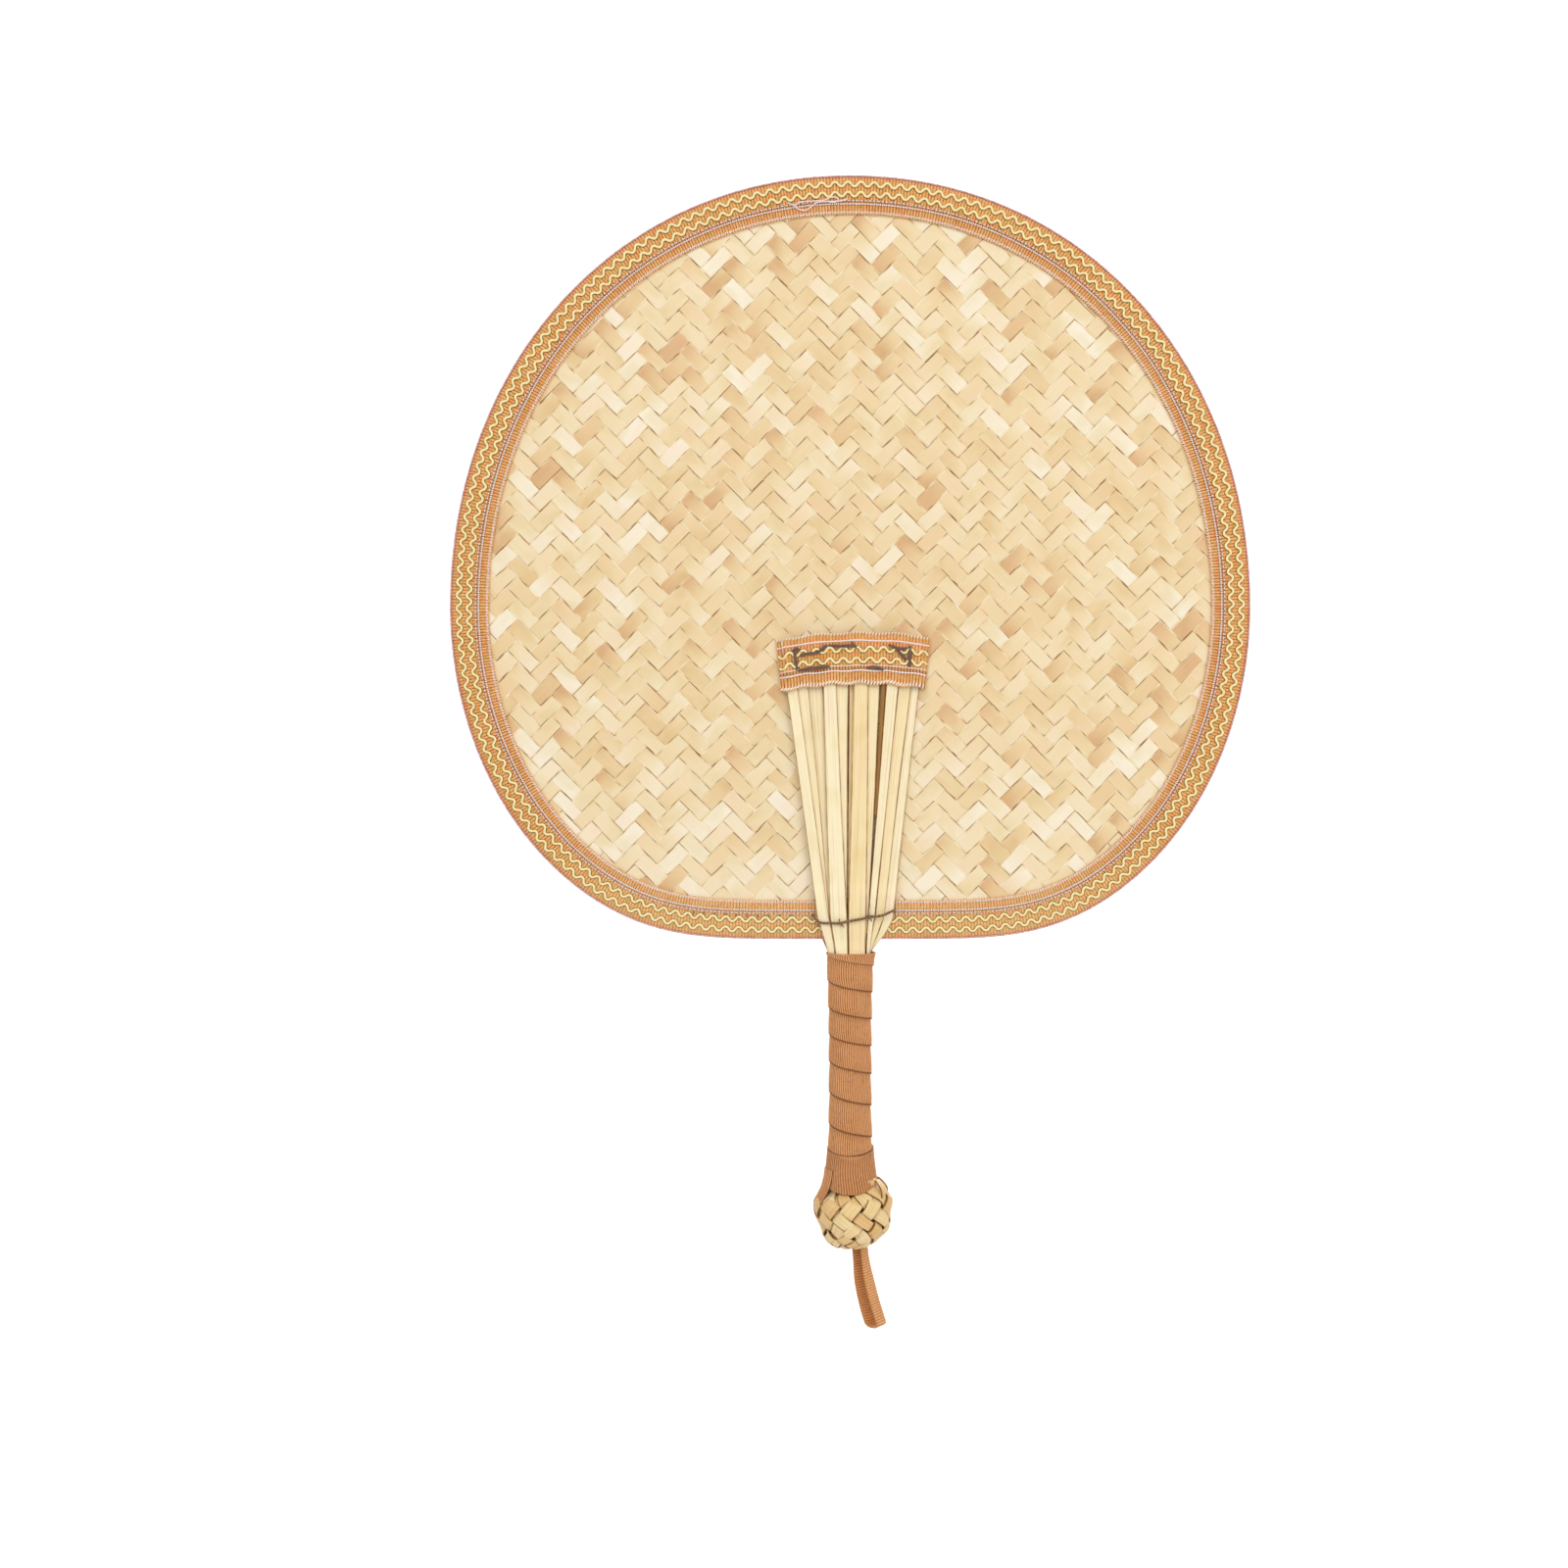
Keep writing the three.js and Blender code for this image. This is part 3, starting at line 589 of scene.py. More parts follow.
def lay_straw(index, side, start, end):
    """One strip of the weave, between two ends counted along it from the middle of the blade."""
    first = math.floor((start / WEAVE_PITCH + index) / 2)
    last = math.ceil((end / WEAVE_PITCH + index) / 2)
    borders = 2 * np.arange(first, last + 1) - index
    middle = (index + 0.5) * WEAVE_PITCH
    dives = strip_edge(-side, borders, middle)
    stops = (dives[:, None] + DIVE_STOPS).ravel()
    stops = np.concatenate([[start], stops[(stops > start + 0.2) & (stops < end - 0.2)], [end]])
    shares = np.linspace(0, 1, len(stops))
    gap = chance.uniform(*STRAW_GAPS, 2) / 2
    tones = tile_tones(len(borders), *on_bias((borders + 1) * WEAVE_PITCH, middle, side))
    tile_tilt = chance.normal(0, TILE_TILT, len(borders))
    # Each tile's tone changes from end to end as painted sheen and shade; falling strips and the darkest
    # tiles are darker where the run starts.
    tile_painted_light = chance.normal(0.0 if side > 0 else -0.12, 0.1, len(borders)) - 0.2 * (tones > 0.72)

    def even_run(run):
        return np.interp(run, dives, borders * WEAVE_PITCH) / WEAVE_PITCH + index

    def tile_at(run):
        return np.clip(np.floor(even_run(run) / 2).astype(int) - first, 0, last - first)

    def place(u, v):
        run = np.interp(u, shares, stops)
        edges = strip_edge(side, index, run) + gap[0], strip_edge(side, index + 1, run) - gap[1]
        phase = np.sin(even_run(run) * np.pi / 2) / math.sin(DIVE / WEAVE_PITCH * np.pi / 2)
        over = -side * np.clip(phase, -1, 1)
        tilt = tile_tilt[tile_at(run)] * (2 * v - 1)
        x, z = on_bias(run, span(edges, v), side)
        points = (x, -over * (WEAVE_RISE + STRAW_CROWN * arch(v)) + tilt, z + WIDEST_LEVEL)
        return points, (run + 400 * index, (v - 0.5) * WOVEN_WIDTH)

    def tone(u):
        run = np.interp(u, shares, stops)
        tile = tile_at(run)
        along = even_run(run) / 2 - first - tile
        return np.clip(tones[tile] + tile_painted_light[tile] * (2 * along - 1), 0, 1)

    return lay_strip("straw", (len(stops) - 1, 4), place, tone)


def woven_family(name, side):
    """All the strips that run one way: side 1 goes up to the right, side -1 down to the right."""
    probe = np.arange(-WEAVE_REACH, WEAVE_REACH, PROBE_STEP)
    strips = []
    for index in range(-STRAWS_EACH_WAY, STRAWS_EACH_WAY):
        inside = probe[in_blade(*on_bias(probe, (index + 0.5) * WEAVE_PITCH, side), STRAW_INSET)]
        if len(inside) > LEAST_PROBES:
            strips.append(lay_straw(index, side, inside[0], inside[-1]))
    family = join(name, strips)
    thicken(family, STRAW_THICKNESS, STRAW_CREASE)
    return family


for name, side in (("weave_rising", 1), ("weave_falling", -1)):
    place_piece(woven_family(name, side), woven_straw, ["woven_panel"])

# %% [markdown]
# ## Trim ribbon
# The rim is bound with a narrow woven ribbon, folded along its middle and sewn through. It has fine
# ribs across it, two wavy gold threads, a line of pale dots, and a picot edge of tiny slanting loops.
# Ribs and threads are modelled, because they make the edge of the fan look like cloth from close by.
# The ribs are drawn a millimetre apart.

# %% Ribbed cloth
# Scales of the yarn across its ribs, of broad patches in the painted rib light and of flecks, per millimetre.
YARN_SCALE = 1.8
PATCH_SCALE = (0.11, 0.16, 1)
FLECK_SCALE = (1 / 1.7, 1 / 1.3, 1)


def ribbed_finish(name, tones, rib_mm, zones, tints, paler_low=None):
    """A ribbed ribbon: painted shade to painted highlight from groove to crest, colour zones across it,
    flecks of tints.

    Zones are in millimetres. One that is paler low down goes over to a paler colour between two levels in
    metres."""
    material, add, shade = new_finish(name)
    lie = add("UVMap", uv_map="lie")
    noises = []
    for scale, detail in (((1 / rib_mm, YARN_SCALE, 1), 3), (PATCH_SCALE, 2), (FLECK_SCALE, 2)):
        grain = add("Mapping", {"Vector": lie, "Scale": scale})
        noises.append(add("TexNoise", {"Vector": grain, "Scale": 1, "Detail": detail}))
    yarn, patch, fleck = noises
    way = add("SeparateXYZ", {"Vector": lie})
    angle = add("Math", {0: way.outputs[0], 1: 2 * math.pi / rib_mm}, operation="MULTIPLY")
    wave = add("Math", {0: angle}, operation="COSINE")
    rough_wave = add("Math", {0: yarn, 1: 1.2, 2: wave}, operation="MULTIPLY_ADD")
    patchy_ribs = add("Math", {0: patch, 1: 0.9, 2: rough_wave}, operation="MULTIPLY_ADD")
    # The crests are painted lighter and the grooves darker: painted highlight and painted shade of the ribs,
    # varied in broad patches.
    crest = add("MapRange", {"Value": patchy_ribs, "From Min": 0.15, "From Max": 1.95})
    colour = colour_stops(add("ValToRGB", {"Fac": crest}), tones)
    depth = add("Math", {0: way.outputs[1]}, operation="ABSOLUTE")
    for low, high, zone_colour, strength in zones:
        after = add("Math", {0: depth, 1: low}, operation="GREATER_THAN")
        before = add("Math", {0: depth, 1: high}, operation="LESS_THAN")
        both = add("Math", {0: after, 1: before}, operation="MULTIPLY")
        share = add("Math", {0: both, 1: strength}, operation="MULTIPLY")
        colour = add("MixRGB", {"Fac": share, "Color1": colour, "Color2": zone_colour})
    fleck_share = add("MapRange", {"Value": fleck, **NOISE_RANGE})
    tint = colour_stops(add("ValToRGB", {"Fac": fleck_share}), tints)
    colour = add("MixRGB", {"Fac": 1, "Color1": colour, "Color2": tint}, blend_type="MULTIPLY")
    if paler_low:
        high, low, pale, strength = paler_low
        level = add("SeparateXYZ", {"Vector": add("TexCoord").outputs["Object"]})
        share = add("MapRange", {"Value": level.outputs[2], "From Min": high, "From Max": low,
                                 "To Max": strength})
        colour = add("MixRGB", {"Fac": share, "Color1": colour, "Color2": pale})
    bump = add("Bump", {"Strength": 0.5, "Distance": 0.00012, "Height": rough_wave})
    shade({"Base Color": colour, "Normal": bump, "Roughness": 0.72, "Sheen Weight": 0.2,
           "Specular IOR Level": 0.3})
    return material


RIB_PITCH = 1.0
PLAIN_TINTS = ["#F2EEE4", "#FFFFFF", "#FFF3EA"]
# Colour zones across the trim in millimetres; the dark one along the seam is partly the cloth's brown and
# partly painted shade.
TRIM_ZONES = [(0.0, 1.4, "#E89E74", 0.5), (1.4, 4.3, "#E4B06A", 0.6), (4.6, 7.4, "#E4B06A", 0.6),
              (7.6, 9.4, "#96604E", 0.45), (9.4, 11.2, "#D69A60", 0.4)]
trim_cloth = ribbed_finish("cotton_trim_ribbon", ["#945624", "#E8A662", "#FFD498"], RIB_PITCH, TRIM_ZONES,
                           ["#E8DC9E", "#FFFDF5", "#FFCCAA"], (0.075, 0.048, "#FFE2A8", 0.2))
print("trim cloth made")

# %% [markdown]
# Thread, reed and loose filling are all fibre: a noise at a real grain size runs over a few tones and
# roughens the surface a little. Reed stretches it lengthwise. The filling's dark browns are painted shade.

# %% Fibre finishes
def fibre_finish(name, tones, scale, roughness, bump, detail=3, sheen=0.0, values=(0, 1)):
    """Fibre from dark to light over a range of noise values, with its scale per metre and its bump."""
    material, add, shade = new_finish(name)
    grain = add("Mapping", {"Vector": add("TexCoord").outputs["Object"], "Scale": scale})
    fibre = add("TexNoise", {"Vector": grain, "Scale": 1, "Detail": detail})
    share = add("MapRange", {"Value": fibre, "From Min": values[0], "From Max": values[1]})
    colour = colour_stops(add("ValToRGB", {"Fac": share}), tones)
    rough = add("Bump", {"Strength": bump[0], "Distance": bump[1] * MM, "Height": fibre})
    shade({"Base Color": colour, "Normal": rough, "Roughness": roughness, "Sheen Weight": sheen})
    return material


def thread_finish(name, light, dark, grain_mm, roughness=0.6):
    """Spun thread: light and dark fibre at a real grain size."""
    return fibre_finish(name, [dark, light], (1 / (grain_mm * MM),) * 3, roughness, (0.5, 0.1), sheen=0.2,
                        values=(0.35, 0.65))


gold_thread = thread_finish("gold_rayon_thread", "#FFF5C2", "#FBDE90", 0.5, 0.42)
# A dark thread in this colour lies under the gold waves as their painted shadow.
wave_shadow_thread = thread_finish("painted_wave_shadow_thread", "#986C2E", "#5C3E16", 0.5)
plum_thread = thread_finish("dull_plum_thread", "#EAC4BC", "#C09294", 0.7)
white_thread = thread_finish("white_cotton_thread", "#FFFDFA", "#F6E4DC", 0.5)
rose_thread = thread_finish("pale_rose_thread", "#FBEAE3", "#EBC6BA", 0.5)
hemp_thread = thread_finish("brown_hemp_thread", "#9A7650", "#62442A", 0.35, 0.75)
dark_thread = thread_finish("dark_brown_thread", "#86634C", "#4E3628", 0.35, 0.75)
REED_FIBRE = (2500, 2500, 60)
brown_reed = fibre_finish("brown_reed_stem", ["#704616", "#9A6A2C", "#BE904A"], REED_FIBRE, 0.55, (0.4, 0.1))
# Dark reed tones for the slivers in the gaps between splints, as painted shade.
gap_shade_finish = fibre_finish("painted_gap_shade", ["#3A240C", "#5A3A16", "#7C5626"], REED_FIBRE, 0.55, (0.4, 0.1))
# The filling's dark browns are painted shade, for the gaps between the knob's strips.
shaded_straw_filling = fibre_finish("shaded_straw_filling", ["#6E4A1C", "#8E672E", "#B08A4E"], (700, 700, 700), 0.8,
                             (0.7, 0.3), detail=4)
print("fibre finishes made")

# %% Binding
LEAF_WIDTH = 12.0
LEAF_DEPTH = 1.1
LEAF_THICKNESS = 0.45
RIB_HEIGHT = 0.1
RIBS = round(RIM_LENGTH / RIB_PITCH)
FOLD_LENGTH = math.pi * LEAF_DEPTH
FOLD_KNOTS = [0, 5 / 12, 7 / 12, 1]
LEAF_SINK = 0.42
SINK_START = 8
RIB_CELLS = 4
SEAM_DEPTH = 7.9
SEAM_PULL = 0.14
SEAM_SPREAD = 1.2
PULL_PITCH = 3.7
# Only the outermost corners of a ribbon move in and out with its ribs.
EDGE_SHARE = 0.02
RIM_SCALLOP = 0.25


def folded_section(share):
    """Depth from the rim and distance from the blade's middle plane, at shares across the ribbon."""
    leaf = LEAF_WIDTH - LEAF_DEPTH
    run = np.interp(share, FOLD_KNOTS, [0, leaf, leaf + FOLD_LENGTH, 2 * leaf + FOLD_LENGTH])
    turn = np.clip((run - leaf) / FOLD_LENGTH, 0, 1) * np.pi
    past = np.maximum(0, run - leaf - FOLD_LENGTH)
    depth = LEAF_DEPTH - LEAF_DEPTH * np.sin(turn) + np.maximum(0, leaf - run) + past
    return depth, -LEAF_DEPTH * np.cos(turn)


def leaf_level(depth):
    """How far the middle of a leaf is from the blade's middle plane; its inner edge is down on the weave."""
    return LEAF_DEPTH * (1 - LEAF_SINK * ease((depth - SINK_START) / (LEAF_WIDTH - SINK_START)))


def at_edges(v, amount):
    return np.where((v < EDGE_SHARE) | (v > 1 - EDGE_SHARE), amount, 0)


def place_binding(u, v):
    run = u * RIM_LENGTH
    x, z, nx, nz = on_rim(run)
    depth, level = folded_section(v)
    rib = ribs_at(u * RIBS, 1)
    pull = SEAM_PULL * hill(depth, SEAM_DEPTH, SEAM_SPREAD) * (0.5 + 0.5 * ribs_at(run, PULL_PITCH))
    puff = (RIB_HEIGHT * rib - pull) * np.clip(depth / LEAF_DEPTH, 0.4, 1) * np.sign(level + 1e-9)
    level *= leaf_level(depth) / LEAF_DEPTH
    edge = depth + at_edges(v, RIM_SCALLOP * rib)
    lie = (u * RIBS * RIB_PITCH, depth * np.where(v < 0.5, 1, -1))
    return (x + nx * edge, level + puff, z + nz * edge), lie


TRIM = (LEAF_THICKNESS, CLOTH_CREASE, trim_cloth, "trim_ribbon")
strip_piece("binding_ribbon", (RIBS * RIB_CELLS, 12), place_binding, TRIM, ["rim_binding"], closed=True)

# %% Places on the binding
CLOTH_FACE = LEAF_THICKNESS / 2 + RIB_HEIGHT
ZIGZAG_SHARPNESS = 1.3


def on_binding(run, depth, face, lift):
    """Points on a leaf of the binding, this far from the rim and above the cloth."""
    x, z, nx, nz = on_rim(run)
    out = np.broadcast_to(leaf_level(depth) + CLOTH_FACE + lift, x.shape)
    return np.column_stack([x + nx * depth, face * out, z + nz * depth])


def stitch_axes(nx, nz, face, slant=0.0):
    """Along, across and outward vectors of stitches, from normals in the blade and a slant in degrees."""
    nothing = np.zeros(len(nx))
    along = np.column_stack([nz, nothing, -nx])
    across = np.column_stack([nx, nothing, nz])
    out = np.column_stack([nothing, np.full(len(nx), float(face)), nothing])
    c = math.cos(math.radians(slant))
    s = math.sin(math.radians(slant))
    return np.stack([along * c + across * s, across * c - along * s, out], axis=1)


def rim_row(name, size, run, depth, face, lift, slant=0.0):
    """One row of the same stitch on a leaf, at distances round the rim."""
    axes = stitch_axes(*on_rim(run)[2:], face, slant)
    return copy_along(name, size, on_binding(run, depth, face, lift), axes)


def zigzag(run, pitch):
    """A rounded zigzag from -1 to 1 along a run."""
    wave = np.sin(2 * np.pi * run / pitch)
    return np.tanh(ZIGZAG_SHARPNESS * wave) / math.tanh(ZIGZAG_SHARPNESS)


# %% Threads of the binding
ZIGZAG_PITCH = 4.2
ZIGZAG_SWING = 0.7
ZIGZAG_RADIUS = 0.43
# Each wavy thread: its name, finish, radius and lift. The dark one below is painted shadow, laid under the
# gold one.
WAVY_THREADS = [("gold_waves", gold_thread, ZIGZAG_RADIUS, 0.16),
                ("gold_wave_shadows", wave_shadow_thread, ZIGZAG_RADIUS + 0.22, -0.36)]
WAVES = round(RIM_LENGTH / ZIGZAG_PITCH)
PICOT_PITCH = 0.7
PICOTS = round(RIM_LENGTH / PICOT_PITCH)
PICOT_SLANT = 55
SEAM_PITCH = 1.4
# Distances of the threads from the rim, and sizes of the stitches along, across and outward.
WAVE_DEPTHS = (2.85, 6.0)
DOT_DEPTH = 8.95
PICOT_DEPTH = 11.5
SEWING_DEPTH = 8.0
FOLD_DEPTH = 0.12
RIM_DOT_DEPTH = 0.05
DOT_SIZE = (0.56, 0.62, 0.5)
PICOT_SIZE = (1.15, 0.32, 0.4)
SEWING_SIZE = (1.1, 0.5, 0.5)
RIM_DOT_SIZE = (0.5, 0.6, 1.0)
STITCH_LIFT = 0.1
PICOT_LIFT = 0.12
FOLD_LIFT = -0.5
FOLD_RADIUS = 0.27
FOLD_POINTS = 900
dots = np.arange(PICOTS) / PICOTS * RIM_LENGTH
seam = (np.arange(round(RIM_LENGTH / SEAM_PITCH)) + 0.5) * SEAM_PITCH
wavy = np.arange(WAVES * 10) / (WAVES * 10) * RIM_LENGTH
swing = ZIGZAG_SWING * zigzag(wavy, RIM_LENGTH / WAVES)
fold = np.arange(FOLD_POINTS) / FOLD_POINTS * RIM_LENGTH

for face, side in FACES.items():
    for name, finish, radius, lift in WAVY_THREADS:
        routes = [on_binding(wavy, depth - swing, face, lift) for depth in WAVE_DEPTHS]
        place_piece(lay_thread(f"{name}_{side}", routes, radius, closed=True), finish)
    rows = [rim_row("dots", DOT_SIZE, dots, DOT_DEPTH, face, STITCH_LIFT),
            rim_row("picot", PICOT_SIZE, dots, PICOT_DEPTH, face, PICOT_LIFT, PICOT_SLANT)]
    place_piece(join(f"picot_threads_{side}", rows), white_thread)
    sewing = rim_row(f"rose_threads_{side}", SEWING_SIZE, seam, SEWING_DEPTH, face, STITCH_LIFT)
    place_piece(sewing, rose_thread)
    edge = [on_binding(fold, np.full(len(fold), FOLD_DEPTH), face, FOLD_LIFT)]
    edge = lay_thread(f"plum_threads_{side}", edge, FOLD_RADIUS, closed=True)
    place_piece(edge, plum_thread)

rim_place = on_binding(dots, RIM_DOT_DEPTH, FRONT, 0.0) * [1, 0, 1]
rim_axes = stitch_axes(*on_rim(dots)[2:], FRONT)
rim_dots = copy_along("plum_threads_rim", RIM_DOT_SIZE, rim_place, rim_axes)
place_piece(rim_dots, plum_thread)

# %% [markdown]
# The ends of the sewing thread were left long where the seam closes, a little left of the top. They lie
# on the binding in two loose curls. Each curl is a smooth line through a few points: distance round the
# rim from the top, and depth from the rim.

# %% Loose thread ends
THREAD_ENDS = [
    [(20.8, 7.1), (18.9, 8.5), (18.2, 9.2), (16.4, 10.3), (14.5, 10.2), (12.6, 9.1), (11.3, 8.2), (7.6, 8.2),
     (3.8, 8.4), (0.4, 7.4)],
    [(18.6, 8.9), (17.9, 8.0), (16.7, 7.6), (15.1, 7.6), (11.3, 7.8), (8.2, 7.8), (7.2, 7.1), (5.7, 6.8),
     (4.1, 7.2), (3.8, 8.0), (5.1, 8.6), (7.2, 8.4)],
]
THREAD_END_LIFT = 0.45
THREAD_END_RADIUS = 0.24
TOP_RUN = np.interp(np.pi / 2, turn, rim_run)


def curl(points):
    """A smooth open line through points, as runs and depths."""
    fine = np.linspace(0, len(points) - 1, 16 * len(points))
    run, depth = (softened(fine, values, 0.35) for values in zip(*points))
    return TOP_RUN + run, depth


curls = [on_binding(*curl(points), FRONT, THREAD_END_LIFT) for points in THREAD_ENDS]
place_piece(lay_thread("loose_thread_ends", curls, THREAD_END_RADIUS), rose_thread)

# %% Dark stitches at the foot
# Left of the splints the sewing also shows as short dark stitches across the ribbon.
TICK_PLACES = np.arange(-50.0, -15.0, 3.5)
TICK_DEPTH = 7.15
TICK_SIZE = (0.36, 1.5, 0.5)
TICK_SLANT = 6
foot = (turn > 1.25 * np.pi) & (turn < 1.5 * np.pi)
tick_run = np.interp(TICK_PLACES, rim_x[foot], rim_run[foot])
ticks = rim_row("seam_ticks", TICK_SIZE, tick_run, TICK_DEPTH, FRONT, STITCH_LIFT, TICK_SLANT)
place_piece(ticks, hemp_thread)

# %% [markdown]
# ## Splints
# Flat straws lie side by side from the cross band down to the grip, in layers, and are drawn together
# into a round bundle where the ribbon is wound. Each is laid along the path of its solid: flat on the
# blade, over the binding, then round the bundle. Widths and places at the band are those that the
# photograph shows.

# %% Levels and lists of the splints
GRIP_TOP = 37.0
GRIP_BOTTOM = -37.0
RIM_BOTTOM = 41.3
BINDING_TOP = RIM_BOTTOM + LEAF_WIDTH
BAND_LEVEL = 128.5
BAND_HEIGHT = 16.0
BAND_BOTTOM = BAND_LEVEL - BAND_HEIGHT / 2
BAND_TOP = BAND_LEVEL + BAND_HEIGHT / 2
SPLINT_TOP = BAND_TOP - 2
SPLINT_SHARES = [0, 0.3, 0.75, 1]
SPLINT_LEVELS = [SPLINT_TOP, 60, 30, GRIP_BOTTOM]
TIE_LEVEL = 48.1
# Each splint: its edges at the band's lower edge, its edges at the tie, its bearings round the bundle in
# degrees from the left, its layer, 0 next to the blade, and its tone. The reed lies before the ninth.
FRONT_SPLINTS = [
    ((-19.9, -16.5), (-10.2, -6.75), (0, 46), 2, 0.15),
    ((-16.7, -13.1), (-9.2, -6.35), (14, 46), 1, 0.3),
    ((-13.2, -8.4), (-6.6, -4.6), (48, 68), 0, 0.35),
    ((-8.5, -4.4), (-6.35, -1.05), (49, 84), 2, 0.1),
    ((-4.5, -0.55), (-3.8, -1.2), (62, 82), 1, 0.25),
    ((-0.3, 1.3), (-0.65, 1.4), (87, 100), 0, 0.8),
    ((1.1, 5.7), (-0.55, 5.1), (86, 135), 2, 0.6),
    ((5.8, 9.4), (2.2, 5.7), (110, 138), 1, 0.4),
    ((11.4, 15.1), (5.85, 7.65), (141, 152), 2, 0.15),
    ((15.2, 19.1), (7.75, 10.4), (154, 173), 1, 0.5),
    ((19.0, 21.5), (10.4, 13.4), (174, 184), 0, 0.15),
]
LOOSE_SPLINT = 10
LOOSE_SLACK = 1.35
BACK_SPLINTS = 12
BACK_SPACING = 3.5
TIE_SHARE = 0.585


def back_splint(slot):
    """A back splint's edges, bearings, layer and tone: in even spacing, every second one on top."""
    middle = (slot - 5.5) * BACK_SPACING
    edges = (middle - BACK_SPACING / 2, middle + BACK_SPACING / 2)
    at_tie = (edges[0] * TIE_SHARE, edges[1] * TIE_SHARE)
    bearing = 30 * (slot // 2)
    return edges, at_tie, (bearing + 1, bearing + 29), 2 * (slot % 2 == 0), chance.uniform(0, 1)


print("splints, front and back:", len(FRONT_SPLINTS), BACK_SPLINTS)

# %% Splints on both faces
SPLINT_THICKNESS = 0.4
SPLINT = (SPLINT_THICKNESS, STRAW_CREASE, splint_straw, "split_straw")
LAYER_STEP = 0.5
TOP_LAYER = 2
SPLINT_FLOOR = 0.8
RIM_RISE = 0.9
BUNDLE_GAP = 0.9
SPLINT_SWAY = 0.06
SPLINT_CUPS = (0.04, 0.14)
WRAP_WAIST = 6.6
SQUEEZE_END = GRIP_TOP - 1
CLOSE_START = RIM_BOTTOM - 0.3
CLOSE_END = GRIP_TOP - 3


def wrap_radius(z):
    return WRAP_WAIST + np.abs(z / GRIP_TOP) ** 3


def between(at_band, at_tie, z):
    """A place along X at a level, on the straight line from the band to the tie and a little beyond."""
    return span((at_tie, at_band), np.maximum((z - TIE_LEVEL) / (BAND_BOTTOM - TIE_LEVEL), -0.03))


def lay_splint(side, number, splint, face, slack=1.0):
    """One splint from the band to the foot of the grip; a slack one is drawn in later than the rest."""
    band_edges, tie_edges, bearings, layer, tone = splint
    sway = chance.normal(0, SPLINT_SWAY, 2)
    cup = chance.uniform(*SPLINT_CUPS)

    def place(u, v):
        z = np.interp(u, SPLINT_SHARES, SPLINT_LEVELS)
        edges = [between(band_edges[k], tie_edges[k], z) for k in (0, 1)]
        flat_x = span(edges, v) + sway[0] * np.sin(z / 11) + sway[1] * np.sin(z / 23)
        over_rim = ease((BINDING_TOP + 6 - z) / 5)
        cupped = cup * arch(v)
        floor = SPLINT_FLOOR + RIM_RISE * over_rim
        flat_depth = floor + SPLINT_THICKNESS / 2 + LAYER_STEP * layer + cupped
        bundle = wrap_radius(np.clip(z, GRIP_BOTTOM, GRIP_TOP)) - BUNDLE_GAP
        radius = bundle - LAYER_STEP * (TOP_LAYER - layer) - SPLINT_THICKNESS / 2 + cupped
        bearing = np.radians(span(bearings, v))
        squeeze = np.clip((TIE_LEVEL - z) / (TIE_LEVEL - SQUEEZE_END), 0, 1)
        drawn_in = (0.8 * squeeze + 0.2 * ease(squeeze)) ** slack
        closed_up = ease((CLOSE_START - z) / (CLOSE_START - CLOSE_END))
        x = span((flat_x, -radius * np.cos(bearing)), drawn_in)
        y = face * span((flat_depth, radius * np.sin(bearing)), closed_up)
        return (x, y, z), (z + 37 * edges[0][0] + 5000 * (face > 0), (v - 0.5) * SPLINT_WIDTH)

    node = f"{side}_splint_{number:02d}"
    strip_piece(f"straw_splint_{side}_{number:02d}", (90, 6), place, SPLINT, [node], tone)


for i, splint in enumerate(FRONT_SPLINTS):
    lay_splint("front", i + 1, splint, FRONT, LOOSE_SLACK if i == LOOSE_SPLINT else 1.0)
for slot in range(BACK_SPLINTS):
    lay_splint("back", slot + 1, back_splint(slot), BACK)

# %% Reed
REED_RADIUS = 0.85
REED_TAPER = 0.35
REED_DEPTH = 1.6
REED_PLACES = (10.4, 6.3)
REED_FOOT = 80.0
REED_JOINT = 107.0
JOINT_RISE = 0.16
JOINT_SPREAD = 0.7
REED_FLATNESS = 0.8
# Dark slivers laid deep in the gaps between splints are painted shade: places at the band and the tie,
# levels, depth and radius.
SHADE_SLIVERS = [(-0.4, -0.8, 119.0, 84.0, 1.0, 0.17), (-0.4, -0.8, 54.0, 39.0, 2.2, 0.2),
           (11.1, 5.6, 84.0, 48.0, 1.8, 0.15)]


def place_reed(u, v):
    z = span((SPLINT_TOP, REED_FOOT), u)
    joint = JOINT_RISE * hill(z, REED_JOINT, JOINT_SPREAD)
    radius = REED_RADIUS * (1 - REED_TAPER * u) + joint
    angle = 2 * np.pi * v
    x = between(*REED_PLACES, z) + radius * np.cos(angle)
    return (x, -REED_DEPTH + REED_FLATNESS * radius * np.sin(angle), z), (z, v * 5)


reed = lay_strip("reed_stem", (80, 14), place_reed)
merge_ends(reed)
bpy.ops.object.mode_set(mode="EDIT")
bpy.ops.mesh.select_all(action="SELECT")
bpy.ops.mesh.region_to_loop()
bpy.ops.mesh.edge_face_add()
bpy.ops.mesh.select_all(action="SELECT")
bpy.ops.mesh.normals_make_consistent(inside=False)
bpy.ops.object.mode_set(mode="OBJECT")
bpy.ops.object.shade_smooth_by_angle(angle=math.radians(STRAW_CREASE))
place_piece(reed, brown_reed, ["core_reed"])
for k, (at_band, at_tie, top, foot, depth, radius) in enumerate(SHADE_SLIVERS):
    z = np.linspace(top, foot, 40)
    route = np.column_stack([between(at_band, at_tie, z), np.full(len(z), -depth), z])
    place_piece(lay_thread(f"gap_shade_sliver_{k + 1}", [route], radius), gap_shade_finish)

